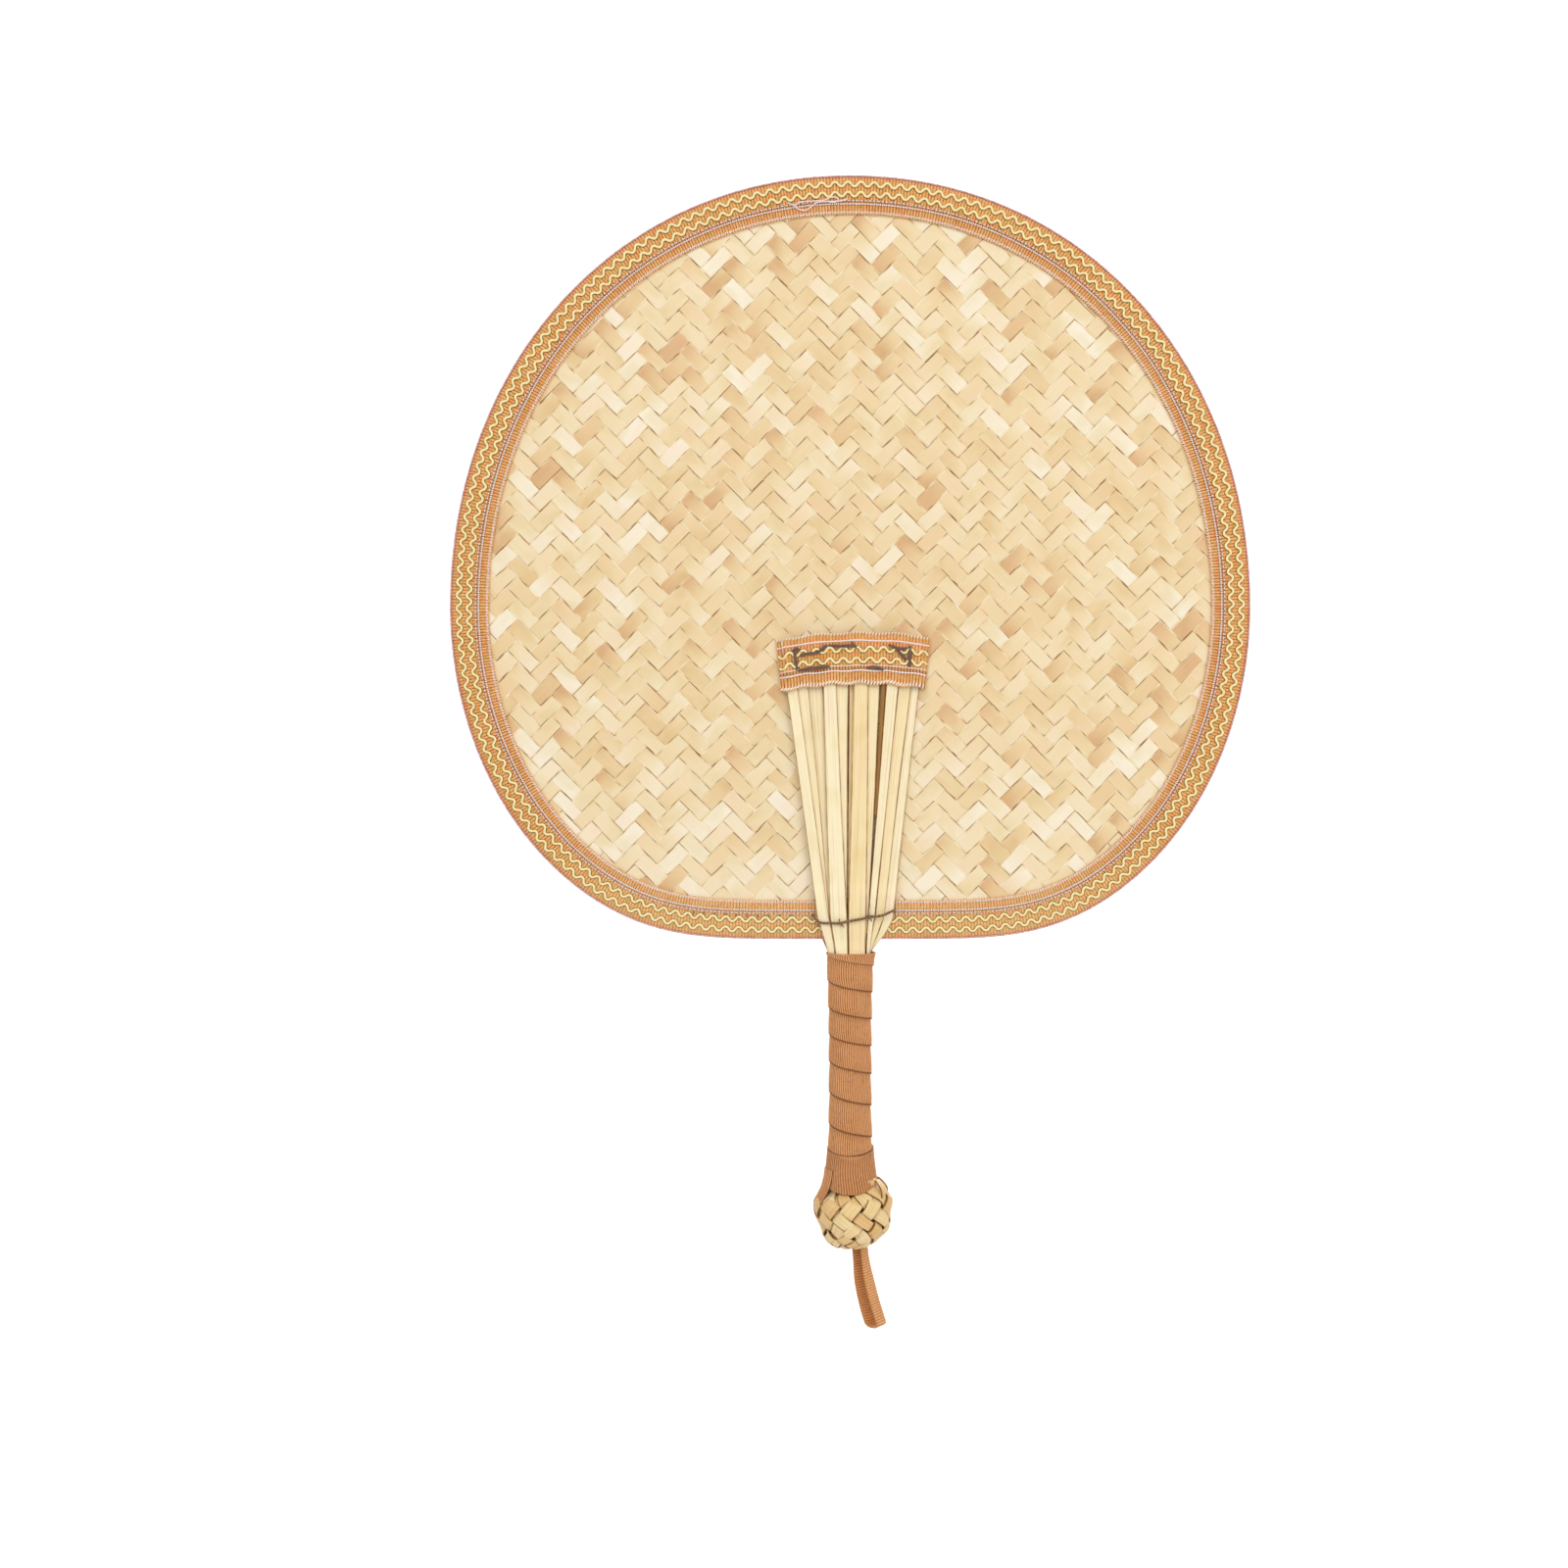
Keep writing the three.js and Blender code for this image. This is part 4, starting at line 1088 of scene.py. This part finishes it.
# %% [markdown]
# ## Cross bands
# A length of the same ribbon, opened flat, is sewn across the top of the splints on each face. It is a
# little arched, its ends bend down to the weave, and on the front coarse brown thread holds it in a few
# long stitches.

# %% Places on a band
BAND_HALF = 24.2
BAND_CREST = 21.8
BAND_MIDDLE = {FRONT: 0.95, BACK: 0}
BAND_ARCH = 2.2
BAND_TAPER = 1.6
CORNER_LIFT = 0.9
BAND_FLOOR = 1.05
BAND_RISE = 1.9
BAND_SCALLOP = 0.22


def band_level(x, below):
    """How far a line along the band is above or below its solid's; both edges are a little wavy."""
    wavy = 0.3 * np.sin(x * 0.72) * ease((below - 9) / 6) + 0.25 * np.sin(x * 0.5 + 1) * ease((4 - below) / 4)
    return 0.5 - BAND_ARCH * (np.abs(x) / BAND_HALF) ** 2.2 + 0.5 * x / BAND_HALF + wavy


def band_depth(x, below):
    """How far the band is from the blade's middle plane; its upper left corner has lifted a little."""
    rise = ease((BAND_HALF - 1.2 - np.abs(x)) / (BAND_HALF - BAND_CREST))
    corner = hill(x, -18, 3.5) * np.clip(1 - below / 5, 0, 1) ** 2
    return BAND_FLOOR + BAND_RISE * rise + 0.1 * ribs_at(x, 6.9) + CORNER_LIFT * corner


def band_reach(below):
    """Half the band's length, which is a little less at its lower edge."""
    return BAND_HALF - BAND_TAPER * below / BAND_HEIGHT


def band_point(x, below, face, lift):
    """A point this far above the band, at places along it and distances below its upper edge."""
    depth = band_depth(x, below) + lift
    return x + BAND_MIDDLE[face], face * depth, BAND_TOP + band_level(x, below) - below


def on_band(x, below, face, lift):
    return np.column_stack(band_point(x, below, face, CLOTH_FACE + lift))


def band_run(below, count):
    """Places along a line of the band that stops a little short of its ends."""
    reach = band_reach(below) - 0.3
    return np.linspace(-reach, reach, count)


# %% Rows and lines of a band
BAND_RIBS = round(2 * BAND_HALF / RIB_PITCH)
# Distances of lines, waves and sewing below the upper edge.
BAND_LINES = (2.4, 11.8)
BAND_WAVES = (5.1, 8.5)
BAND_SEWING = 10.2
BAND_DOT_SIZE = (0.8, 0.66, 0.6)
LINE_RADIUS = 0.18
SEWING_RADIUS = 0.2
# Each row of stitches: their size, distance below the upper edge and slant in degrees.
BAND_ROWS = [*((BAND_DOT_SIZE, below, 0) for below in BAND_LINES), ((1.5, 0.55, 0.45), 15.4, PICOT_SLANT),
             ((1.1, 0.4, 0.4), 0.1, PICOT_SLANT)]


def lay_band(side, face):
    def place(u, v):
        below = v * BAND_HEIGHT
        x = (2 * u - 1) * band_reach(below)
        rib = ribs_at(u * BAND_RIBS, 1)
        pull = 0.12 * hill(below, 7.6, 2.5) * ribs_at(x, 7.3)
        x, y, z = band_point(x, below, face, RIB_HEIGHT * rib + pull)
        return (x, y, z - at_edges(v, BAND_SCALLOP * rib)), (u * BAND_RIBS * RIB_PITCH, below - 2.9)

    strip_piece(f"band_ribbon_{side}", (BAND_RIBS * RIB_CELLS, 14), place, TRIM, [f"cross_band_{side}"])


def band_row(size, below, slant, face):
    """One row of the same stitch along a band, a stitch to each rib."""
    reach = band_reach(below) - 0.4
    places = np.arange(-reach, reach, RIB_PITCH)
    axes = stitch_axes(0 * places, 0 * places + 1, face, slant)
    return copy_along("row", size, on_band(places, below, face, 0.04), axes)


def band_line(below, face, radius):
    """One thin woven line along a band."""
    return lay_thread("line", [on_band(band_run(below, 120), below, face, -0.02)], radius)


def band_waves(name, face, radius, lift):
    """The two wavy threads along a band."""
    routes = []
    for below in BAND_WAVES:
        x = band_run(below, 260)
        routes.append(on_band(x, below - ZIGZAG_SWING * zigzag(x, ZIGZAG_PITCH), face, lift))
    return lay_thread(name, routes, radius)


for face, side in FACES.items():
    lay_band(side, face)
    for name, finish, radius, lift in WAVY_THREADS:
        place_piece(band_waves(f"{name}_band_{side}", face, radius, lift), finish)
    rows = [band_row(*row, face) for row in BAND_ROWS]
    rows += [band_line(below, face, LINE_RADIUS) for below in BAND_LINES]
    place_piece(join(f"picot_threads_band_{side}", rows), white_thread)
    place_piece(band_line(BAND_SEWING, face, SEWING_RADIUS), rose_thread)

# %% Coarse stitches on the front band
# Each stitch: place along the band and distance below its upper edge, at both ends.
COARSE_STITCHES = [((-8.0, 3.6), (0.8, 3.9)), ((-0.4, 2.9), (1.2, 4.4)), ((10.9, 3.5), (17.7, 4.0)),
                   ((17.8, 3.3), (17.5, 10.1)), ((13.2, 4.5), (17.2, 8.3)), ((-19.2, 4.3), (-16.2, 4.6)),
                   ((-18.5, 3.3), (-17.4, 10.5)), ((-16.7, 5.9), (-11.1, 5.7)), ((-11.3, 5.8), (-8.2, 3.4)),
                   ((-17.4, 10.4), (-6.9, 10.2)), ((4.5, 11.0), (9.7, 11.8))]
STITCH_PLIES = (-0.3, 0.0, 0.3)
PLY_RADIUS = 0.23


def coarse_stitch(start, end, ply, sag):
    """One ply of a stitch, beside the others, rising out of the cloth and going in again."""
    share = np.linspace(0, 1, 14)
    hump = np.sin(np.pi * share)
    aside = end[0] - start[0]
    down = end[1] - start[1]
    spread = ply * (0.35 + 0.65 * hump) / math.hypot(aside, down)
    x = start[0] + aside * share + spread * down
    below = start[1] + down * share - spread * aside + sag * hump
    lift = 1.0 * hump ** 0.4 - 0.35 + chance.uniform(-0.05, 0.05)
    return on_band(x, below, FRONT, lift)


stitch_sags = chance.normal(0, 0.3, len(COARSE_STITCHES))
plies = []
for ends, sag in zip(COARSE_STITCHES, stitch_sags):
    plies += [coarse_stitch(*ends, ply, sag) for ply in STITCH_PLIES]
place_piece(lay_thread("coarse_stitches", plies, PLY_RADIUS), dark_thread)

# %% [markdown]
# ## Tie
# One turn of twine holds the splints against the foot of the blade. It goes through the blade at each
# side and is knotted on the front. Twine is twisted, so two strands are laid as a screw round its path.

# %% Twine tie
TIE_DEPTH = 3.85
STRAND_RADIUS = 0.28
STRAND_TURN = 0.2
TWIST_LENGTH = 2.2
TIE_STEP = 0.22
TIE_FRONT = [(-11.2, 48.2), (-9.3, 46.6), (-6.0, 46.4), (-3.0, 46.4), (-0.6, 47.0), (1.9, 47.4), (4.5, 47.9),
             (6.0, 48.4), (9.1, 48.6), (11.1, 49.2), (13.3, 50.2)]
TIE_BACK = [(11.6, 49), (4, 48), (-4, 48), (-10.6, 48.6)]
TIE_ROUTE = [*((x, -TIE_DEPTH, z) for x, z in TIE_FRONT), (14.0, 0, 49.8),
             *((x, TIE_DEPTH, z) for x, z in TIE_BACK), (-11.6, 0, 48.8)]


def smooth_route(points, step):
    """A smooth closed route through a few points, at equal steps, and its length."""
    points = np.asarray(points, dtype=float)
    count = len(points)
    route = []
    for i in range(count):
        p0, p1, p2, p3 = (points[(i + k) % count] for k in (-1, 0, 1, 2))
        for t in np.linspace(0, 1, 24, endpoint=False):
            route.append(0.5 * (2 * p1 + (p2 - p0) * t + (2 * p0 - 5 * p1 + 4 * p2 - p3) * t ** 2
                                + (3 * p1 - p0 - 3 * p2 + p3) * t ** 3))
    route = np.array(route + route[:1])
    run = run_along(route)
    even = np.linspace(0, run[-1], round(run[-1] / step), endpoint=False)
    return points_at(even, run, route), run[-1]


def twisted(route, length):
    """Two strands wound round a closed route."""
    along = np.roll(route, -1, axis=0) - np.roll(route, 1, axis=0)
    along /= np.linalg.norm(along, axis=1)[:, None]
    side = np.cross(along, [0.0, 0.0, 1.0])
    side /= np.linalg.norm(side, axis=1)[:, None]
    rise = np.cross(side, along)
    angle = np.arange(len(route))[:, None] / len(route) * 2 * np.pi * round(length / TWIST_LENGTH)
    return [route + STRAND_TURN * (side * np.cos(angle + phase) + rise * np.sin(angle + phase))
            for phase in (0, np.pi)]


def twine_knot(x, z, size):
    """A small knot lying on the tie."""
    turn = np.linspace(0, 2 * np.pi, 40, endpoint=False)
    return np.column_stack([x + size * (np.sin(turn) + 0.6 * np.sin(2 * turn)) * 0.45,
                            -TIE_DEPTH - 0.25 - 0.25 * np.sin(3 * turn),
                            z + size * (np.cos(turn) - 0.6 * np.cos(2 * turn)) * 0.4])


# Each knot: its place, its level and its size.
KNOTS = [(-2.8, 46.4, 1.0), (5.9, 48.4, 0.9)]
KNOT_RADIUS = 0.26
END_RADIUS = 0.2
KNOT_ENDS = [[(-2.8, -4.3, 46.4), (-2.4, -4.4, 45.7), (-2.0, -4.2, 45.2)],
             [(-3.2, -4.3, 46.6), (-3.5, -4.4, 47.3), (-3.3, -4.2, 47.7)],
             [(5.9, -4.3, 48.5), (5.8, -4.4, 50.2), (6.1, -4.1, 52.4)],
             [(6.1, -4.3, 48.2), (6.6, -4.4, 47.5), (6.7, -4.2, 47.0)]]
tie_route, tie_length = smooth_route(TIE_ROUTE, TIE_STEP)
tie = lay_thread("twine_tie", twisted(tie_route, tie_length), STRAND_RADIUS, closed=True)
knots = lay_thread("knots", [twine_knot(*knot) for knot in KNOTS], KNOT_RADIUS, closed=True)
tie = join("twine_tie", [tie, knots, lay_thread("ends", KNOT_ENDS, END_RADIUS)])
place_piece(tie, hemp_thread, ["tie_cord"])
print("twine in the tie, mm:", round(tie_length))

# %% [markdown]
# ## Grip
# A brown grosgrain ribbon is wound round the bundle, each turn over the edge of the one below, and a
# last level turn closes it. Grosgrain has strong ribs across its width, so on the grip they stand
# upright. They are modelled, and the finish paints shade in the grooves and highlight on the crests.

# %% Wound ribbon
WRAP_RIB = 0.74
WRAP_RIB_HEIGHT = 0.1
WRAP_LAP = 2.2
WRAP_TURNS = 8.4
WRAP_START = 0.5
WRAP_SAG = 0.5
WRAP_THICKNESS = 0.3
WRAP_RADIUS = 6.9
WRAP_LENGTH = 2 * math.pi * WRAP_RADIUS
WRAP_STOPS = [0, 4.25, 8.0]
WRAP_LEVELS = [GRIP_TOP, 1.3, -35.8]
GRIP_FLARE = 0.8
FLARE_SPREAD = 1.8
RIBBON_WIDTH = 11.0
SHADED_SELVEDGE = 0.5
LAST_TURN_TOP = -23.9
LAST_TURN_BOTTOM = -34.6
LAST_TURN_RADII = (6.95, 8.1)
LAST_TURN_LAP = 1.06
# The last turn's place in the finish, clear of the other turns'.
LAST_LIE = 20.0

# The dark band at each turn's lower edge and the last turn's top is partly selvedge, partly painted shade of
# the lap.
grosgrain = ribbed_finish("rayon_grosgrain", ["#8E5024", "#C6824A", "#E8AC74"], WRAP_RIB,
                          [(0, SHADED_SELVEDGE, "#6E3A14", 0.8), (LAST_LIE, LAST_LIE + SHADED_SELVEDGE, "#5E3010", 0.85),
                           (LAST_LIE + SHADED_SELVEDGE, LAST_LIE + RIBBON_WIDTH, "#A4683A", 0.3)], PLAIN_TINTS)


def wrap_level(turn):
    """Level of the ribbon's lower edge after so many turns; the last turns are wound further apart."""
    return np.interp(turn, WRAP_STOPS, WRAP_LEVELS)


def rib_shift(v):
    """How far a rib leans: hooked at the edge it comes out of, drawn aside at the lower edge."""
    return 0.35 * np.exp(-np.maximum(v - 0.2, 0) / 0.07) + 0.6 * np.clip((v - 0.55) / 0.45, 0, 1) ** 2


def place_wrap(u, v):
    turn = 0.02 + u * WRAP_TURNS
    angle = 2 * np.pi * (turn + WRAP_START)
    sag = WRAP_SAG * np.sin(angle)
    lower = np.maximum(wrap_level(turn) + sag, LAST_TURN_TOP - 5)
    upper = np.minimum(wrap_level(turn - 1) + sag + WRAP_LAP, GRIP_TOP)
    z = span((np.maximum(upper, lower + 0.5), lower), v)
    run = turn * WRAP_LENGTH - rib_shift(v)
    shingle = -0.52 + 0.44 * ease(v * 1.25)
    flare = GRIP_FLARE * hill(z, GRIP_TOP, FLARE_SPREAD) * np.maximum(np.cos(angle), 0) ** 2
    radius = wrap_radius(z) + shingle + flare + WRAP_RIB_HEIGHT * ribs_at(run, WRAP_RIB)
    return round_axis(radius, angle, z), (run, RIBBON_WIDTH * (1 - v))


def place_last_turn(u, v):
    turn = u * LAST_TURN_LAP + 0.2
    angle = 2 * np.pi * turn
    front = np.sin(angle)
    top = LAST_TURN_TOP + 1.0 * front - 0.5 * front ** 2
    bottom = LAST_TURN_BOTTOM + 1.8 * front - 1.2 * front ** 2
    run = turn * WRAP_LENGTH + 0.4 * np.sin(v * 4)
    flared = span(LAST_TURN_RADII, v ** 1.3)
    radius = flared + 0.35 * ease((u - 0.5) * 2) + 1.1 * WRAP_RIB_HEIGHT * ribs_at(run, WRAP_RIB)
    return round_axis(radius, angle, span((top, bottom), v)), (run, LAST_LIE + RIBBON_WIDTH * v)


wrap = lay_strip("wound", (round(WRAP_TURNS * WRAP_LENGTH / WRAP_RIB * 5), 12), place_wrap)
last_turn = lay_strip("last_turn", (round(LAST_TURN_LAP * WRAP_LENGTH / WRAP_RIB * 5), 10), place_last_turn)
wrap = join("grip_ribbon", [wrap, last_turn])
thicken(wrap, WRAP_THICKNESS, CLOTH_CREASE)
place_piece(wrap, grosgrain, ["grip_wrap"])

# %% [markdown]
# ## Knob
# The straws end in a ball plaited over a filling: ten strips wind down to the right and ten to the
# left, each over one and under one. The net is drawn so that a strip is steep under the grip and slants
# more towards the middle.

# %% Shape of the knob
KNOB_RADIUS = 11.5
KNOB_LEVEL = -45.213
NECK_RADIUS = 7.2
PLAIT_RADIUS = 10.75
KNOB_NECK = math.asin(NECK_RADIUS / PLAIT_RADIUS)
KNOB_SHOULDER = 0.1
KNOB_FLATNESS = 0.96
KNOB_CORNER = 2.2
CORNER_BEARING = math.radians(-15)
CORNER_SPREAD = 0.65
KNOB_LEAN = 1.5
LEAN_LEVEL = -49.0
LEAN_SPREAD = 3.4
KNOB_TUCK = 0.7


def polar_angle(latitude):
    """Angle from the knob's upper pole to a latitude of the net."""
    return 2 * np.arctan(np.exp(latitude))


def on_knob(turn, latitude, radius):
    """A point of the knob, fuller to the right; above the neck it goes straight up, under the ribbon."""
    polar = polar_angle(latitude)
    above = np.maximum(KNOB_NECK - polar, 0)
    polar = np.maximum(polar, KNOB_NECK)
    aside = np.mod(turn - CORNER_BEARING + np.pi, 2 * np.pi) - np.pi
    corner = hill(aside, 0, CORNER_SPREAD)
    radius = radius + KNOB_CORNER * corner * (1 - ease((polar - 1.0) / 0.95))
    above = above * (1 - 0.45 * corner)
    shoulder = 1 + KNOB_SHOULDER * ease((polar - KNOB_NECK) / 0.2) * (1 - ease((polar - 1.0) / 0.6))
    flat = np.where(polar > np.pi / 2, KNOB_FLATNESS, 1)
    z = KNOB_LEVEL + radius * flat * np.cos(polar) + KNOB_RADIUS * above
    lean = KNOB_LEAN * hill(z, LEAN_LEVEL, LEAN_SPREAD)
    x, y, z = round_axis(radius * shoulder * np.sin(polar), turn, z)
    return x + lean, y, z


def tucked(latitude):
    """How far a place is tucked in under the ribbon, from 0 to 1."""
    return ease((1.15 - polar_angle(latitude)) / 0.35)


# %% Plaited knob
PLAIT_STRIPS = 10
PLAIT_ROWS = 7
PLAIT_TOP = -1.75
PLAIT_WIDTH = 0.97
PLAIT_THICKNESS = 0.42
PLAIT = (PLAIT_THICKNESS, STRAW_CREASE, plait_straw, "plaited_straw")
ROW_STEP = math.pi / PLAIT_STRIPS
MOUTH_RADIUS = 4.7
MOUTH_POLAR = math.pi - math.asin(MOUTH_RADIUS / KNOB_RADIUS)
LAST_ROW = math.log(math.tan(MOUTH_POLAR / 2)) - 0.8 * ROW_STEP
FIRST_ROW = LAST_ROW - (PLAIT_ROWS - 1) * ROW_STEP
# Down the knob, a strip turns about its axis as fast as it descends; near the grip it runs steeper.
plait_latitude = np.linspace(PLAIT_TOP, LAST_ROW + 0.5 * ROW_STEP, 600)
plait_slope = 0.55 + 0.45 * ease((plait_latitude + 0.75) / 0.9)
mean_slope = (plait_slope[1:] + plait_slope[:-1]) / 2
plait_turn = np.concatenate([[0], np.cumsum(mean_slope * np.diff(plait_latitude))])
plait_turn += plait_latitude[-1] - plait_turn[-1]
plait_row = (plait_turn - FIRST_ROW) / ROW_STEP
plait_line = np.column_stack([plait_latitude, plait_slope, plait_turn])


def lay_plait(name, start, hand):
    width = PLAIT_WIDTH * ROW_STEP * chance.uniform(0.76, 1.04)
    jog = chance.normal(0, 0.055)
    bow = chance.normal(0, 0.04)
    tone = chance.beta(2, 2)
    swell = chance.uniform(0.05, 0.16)

    def place(u, v):
        row = span(plait_row[[0, -1]], u)
        latitude, slope, round_knob = points_at(row, plait_row, plait_line).T
        turn = start + jog + bow * np.sin(row * 1.3) + hand * round_knob
        side = (v - 0.5) * width * 2 / (1 + slope ** 2)
        lift = np.tanh(2.2 * hand * np.cos(np.pi * row)) / np.tanh(2.2)
        tuck = tucked(latitude)
        raised = (0.55 * lift + swell * arch(v) * (0.3 + 0.7 * (lift > 0))) * (1 - 0.5 * tuck)
        radius = PLAIT_RADIUS - KNOB_TUCK * tuck + raised
        lie = (row * 4.5 + 90 * start, (v - 0.5) * PLAIT_LIE)
        return on_knob(turn + hand * side, latitude - slope * side, radius), lie

    strip_piece(f"plait_{name}", (100, 6), place, PLAIT, [f"knob_strip_{name}"], tone)


for way, hand, offset in (("right", 1, 0.0), ("left", -1, 2 * FIRST_ROW)):
    for i in range(PLAIT_STRIPS):
        lay_plait(f"{way}_{i + 1:02d}", offset + i * 2 * ROW_STEP, hand)

# %% Loose ends of two plait strips
CURL_OUT = [11.8, 12.0, 11.7, 10.9, 9.9, 9.0, 8.7, 9.2]
CURL_LEVELS = [-39.4, -37.8, -36.6, -35.5, -34.5, -33.8, -34.1, -34.9]


def lay_loose_end(name, bearings, width, share, tone):
    """A strip end that stands off the right shoulder: curled over, or cut off after a share of the curl."""
    def place_curl(u, v):
        step = u * share * (len(CURL_OUT) - 1)
        out = softened(step, CURL_OUT, 0.5) + 0.5 * ease((u * share - 0.5) / 0.5) * (2 * v - 1) ** 2
        bearing = np.radians(span(bearings, u ** 2)) + (v - 0.5) * width * (1 - 0.45 * u ** 2) / 12
        return round_axis(out, bearing, softened(step, CURL_LEVELS, 0.5)), (u * 15, (v - 0.5) * PLAIT_LIE)

    strip_piece(name, (40, 8), place_curl, PLAIT, tone=tone)


lay_loose_end("plait_loose_end", (-24, -18), 4.6, 1.0, 0.75)
lay_loose_end("plait_end_behind", (30, 36), 9.0, 0.6, 1.0)

# %% Ribbon tail on the knob
TAIL_BEARING = math.radians(191)
TAIL_WIDTH = 9.6
TAIL_DROPS = [30.5, 33.5, 36.5, 38.5, 41]
TAIL_RADII = [7.8, 8.2, 9.0, 10.0, 11.2]


def place_tail(u, v):
    drop = span((TAIL_DROPS[0], TAIL_DROPS[-1]), u)
    run = (v - 0.5) * TAIL_WIDTH
    radius = np.interp(drop, TAIL_DROPS, TAIL_RADII) + WRAP_RIB_HEIGHT * ribs_at(run, WRAP_RIB)
    lie = RIBBON_WIDTH * np.where(u < 0.5, 0.5, 1 - u)
    return round_axis(radius, TAIL_BEARING + run / radius, -drop), (run, lie)


TAIL = (WRAP_THICKNESS, CLOTH_CREASE, grosgrain, "grosgrain")
strip_piece("ribbon_tail", (16, 48), place_tail, TAIL, ["wrap_tail"])

# %% [markdown]
# ## Hanging loop
# A doubled length of the same brown ribbon hangs below the knob. It is one flat, limp cord: out of the
# knob, down, round a bend and back. It is laid in the fan's frame and left without a body.

# %% Loop line
LOOP_LENGTH = 23.0
LOOP_WIDTH = 4.4
LOOP_NECK = 0.88
LOOP_TOP = 2.2
LOOP_EYE = 1.5
LOOP_THICKNESS = 0.5
LOOP_LEVEL = -57.613
LOOP_TURN = -40
LOOP_PLACE = 3.9
LOOP_LEAN = -6
LOOP_BEND = 2.8


def hairpin(count):
    """The middle line of the loop in its own plane, at equal steps, and its length."""
    foot = -(LOOP_LENGTH - LOOP_EYE - LOOP_THICKNESS / 2)
    share = np.linspace(0, 1, 60)
    leg = np.column_stack([span((LOOP_NECK, LOOP_EYE), ease(share)), span((LOOP_TOP, foot), share)])
    bend = np.linspace(0, np.pi, 40)[1:-1]
    turn = np.column_stack([LOOP_EYE * np.cos(bend), foot - LOOP_EYE * np.sin(bend)])
    line = np.vstack([leg, turn, (leg * [-1, 1])[::-1]])
    run = run_along(line)
    return points_at(np.linspace(0, run[-1], count), run, line), run[-1]


def hang(local, x, lean):
    """Points of a hanging ribbon's own frame in the fan's frame, at a place along X and a lean in degrees."""
    turned = Matrix.Rotation(math.radians(lean), 3, "Y") @ Matrix.Rotation(math.radians(LOOP_TURN), 3, "Z")
    return local @ np.array(turned).T + [x, 0, LOOP_LEVEL]


def from_loop(local):
    """Points of the loop's own frame in the fan's frame; the loop bends to the right towards its foot."""
    points = hang(local, LOOP_PLACE, LOOP_LEAN)
    points[:, 0] += LOOP_BEND * (local[:, 2] / LOOP_LENGTH) ** 2
    return points


loop_line, loop_length = hairpin(401)
print("ribbon in the loop, mm:", round(loop_length))

# %% Loop ribbon
LOOP_RIB = 0.82
LOOP_RIB_HEIGHT = 0.045
LEG_TURNS = np.radians([-11, 15])
LEG_SPREAD = 1.2
loop_cloth = ribbed_finish("rayon_loop_ribbon", ["#BE7A40", "#DA9A5C", "#E8AE74"], LOOP_RIB, [], PLAIN_TINTS)


def place_loop(u, v):
    run = u * loop_length
    shares = np.linspace(0, 1, len(loop_line))
    line = points_at(u, shares, loop_line)
    along = points_at(np.minimum(u + 0.004, 1), shares, loop_line)
    along -= points_at(np.maximum(u - 0.004, 0), shares, loop_line)
    along /= np.linalg.norm(along, axis=1)[:, None]
    rib = LOOP_RIB_HEIGHT * ribs_at(run, LOOP_RIB)
    leg = np.tanh(line[:, 0] / 0.6)
    turned = LEG_TURNS[0] + LEG_TURNS[1] * leg
    across = (v - 0.5) * LOOP_WIDTH * (0.75 + 0.25 * ease(-line[:, 1] / 10))
    aside = -LEG_SPREAD * (1 - leg) / 2 - across * np.sin(turned)
    local = np.column_stack([line[:, 0] - along[:, 1] * rib + aside, across * np.cos(turned),
                             line[:, 1] + along[:, 0] * rib])
    return tuple(from_loop(local).T), (run, v * LOOP_WIDTH)


LOOP = (LOOP_THICKNESS, CLOTH_CREASE, loop_cloth, "grosgrain")
loop_cells = (round(loop_length / LOOP_RIB * 8), 6)
loop = strip_piece("loop_ribbon", loop_cells, place_loop, LOOP, ["hanging_loop"], body=None)
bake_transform(loop)
sparse = loop_line[::10]
flat_line = np.column_stack([sparse[:, 0], np.zeros(len(sparse)), sparse[:, 1]])
loop_path = from_loop(flat_line) * MM

# %% [markdown]
# ## Inner pieces
# The stick in the grip and the filling of the knob keep their solids. They only show through gaps, so
# they get finishes with fibre in them, the filling's in dark browns that are painted shade. A padding
# in the same painted shade fills the knob out under its strips, and the tucked tails of the loop are
# laid anew, in line with its legs.

# %% Knob padding and cores
PADDING_RADIUS = 9.25
PADDING_LATITUDES = (PLAIT_TOP, 1.3)


def place_padding(u, v):
    latitude = span(PADDING_LATITUDES, v)
    radius = PADDING_RADIUS - KNOB_TUCK * tucked(latitude)
    return on_knob(2 * np.pi * u, latitude, radius), (u * 60, v * 20)


PADDING_THICKNESS = 0.3
# The padding's dark brown is painted shade under the plait.
PADDING = (PADDING_THICKNESS, STRAW_CREASE, shaded_straw_filling, "plaited_straw")
strip_piece("knob_padding", (60, 24), place_padding, PADDING, closed=True)
for name, finish in (("handle_core", brown_reed), ("knob_core", shaded_straw_filling)):
    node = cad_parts[name]
    node.data.materials.clear()
    node.data.materials.append(finish)
    print(name, "keeps its solid")

# %% Tucked tails of the loop
TAILS_WIDTH = 4.6
TAILS_RISE = (7.6, 2.3)
TAILS_PLACE = 1.7
TAILS_LEAN = -13.5


def place_tails(u, v):
    up = span(TAILS_RISE, u)
    points = hang(np.column_stack([0 * u, (v - 0.5) * TAILS_WIDTH, up]), TAILS_PLACE, TAILS_LEAN)
    return tuple(points.T), (up, v * TAILS_WIDTH)


TAILS = (2 * LOOP_THICKNESS, STRAW_CREASE, loop_cloth, "grosgrain")
strip_piece("tucked_tails", (24, 4), place_tails, TAILS, ["loop_anchor"])
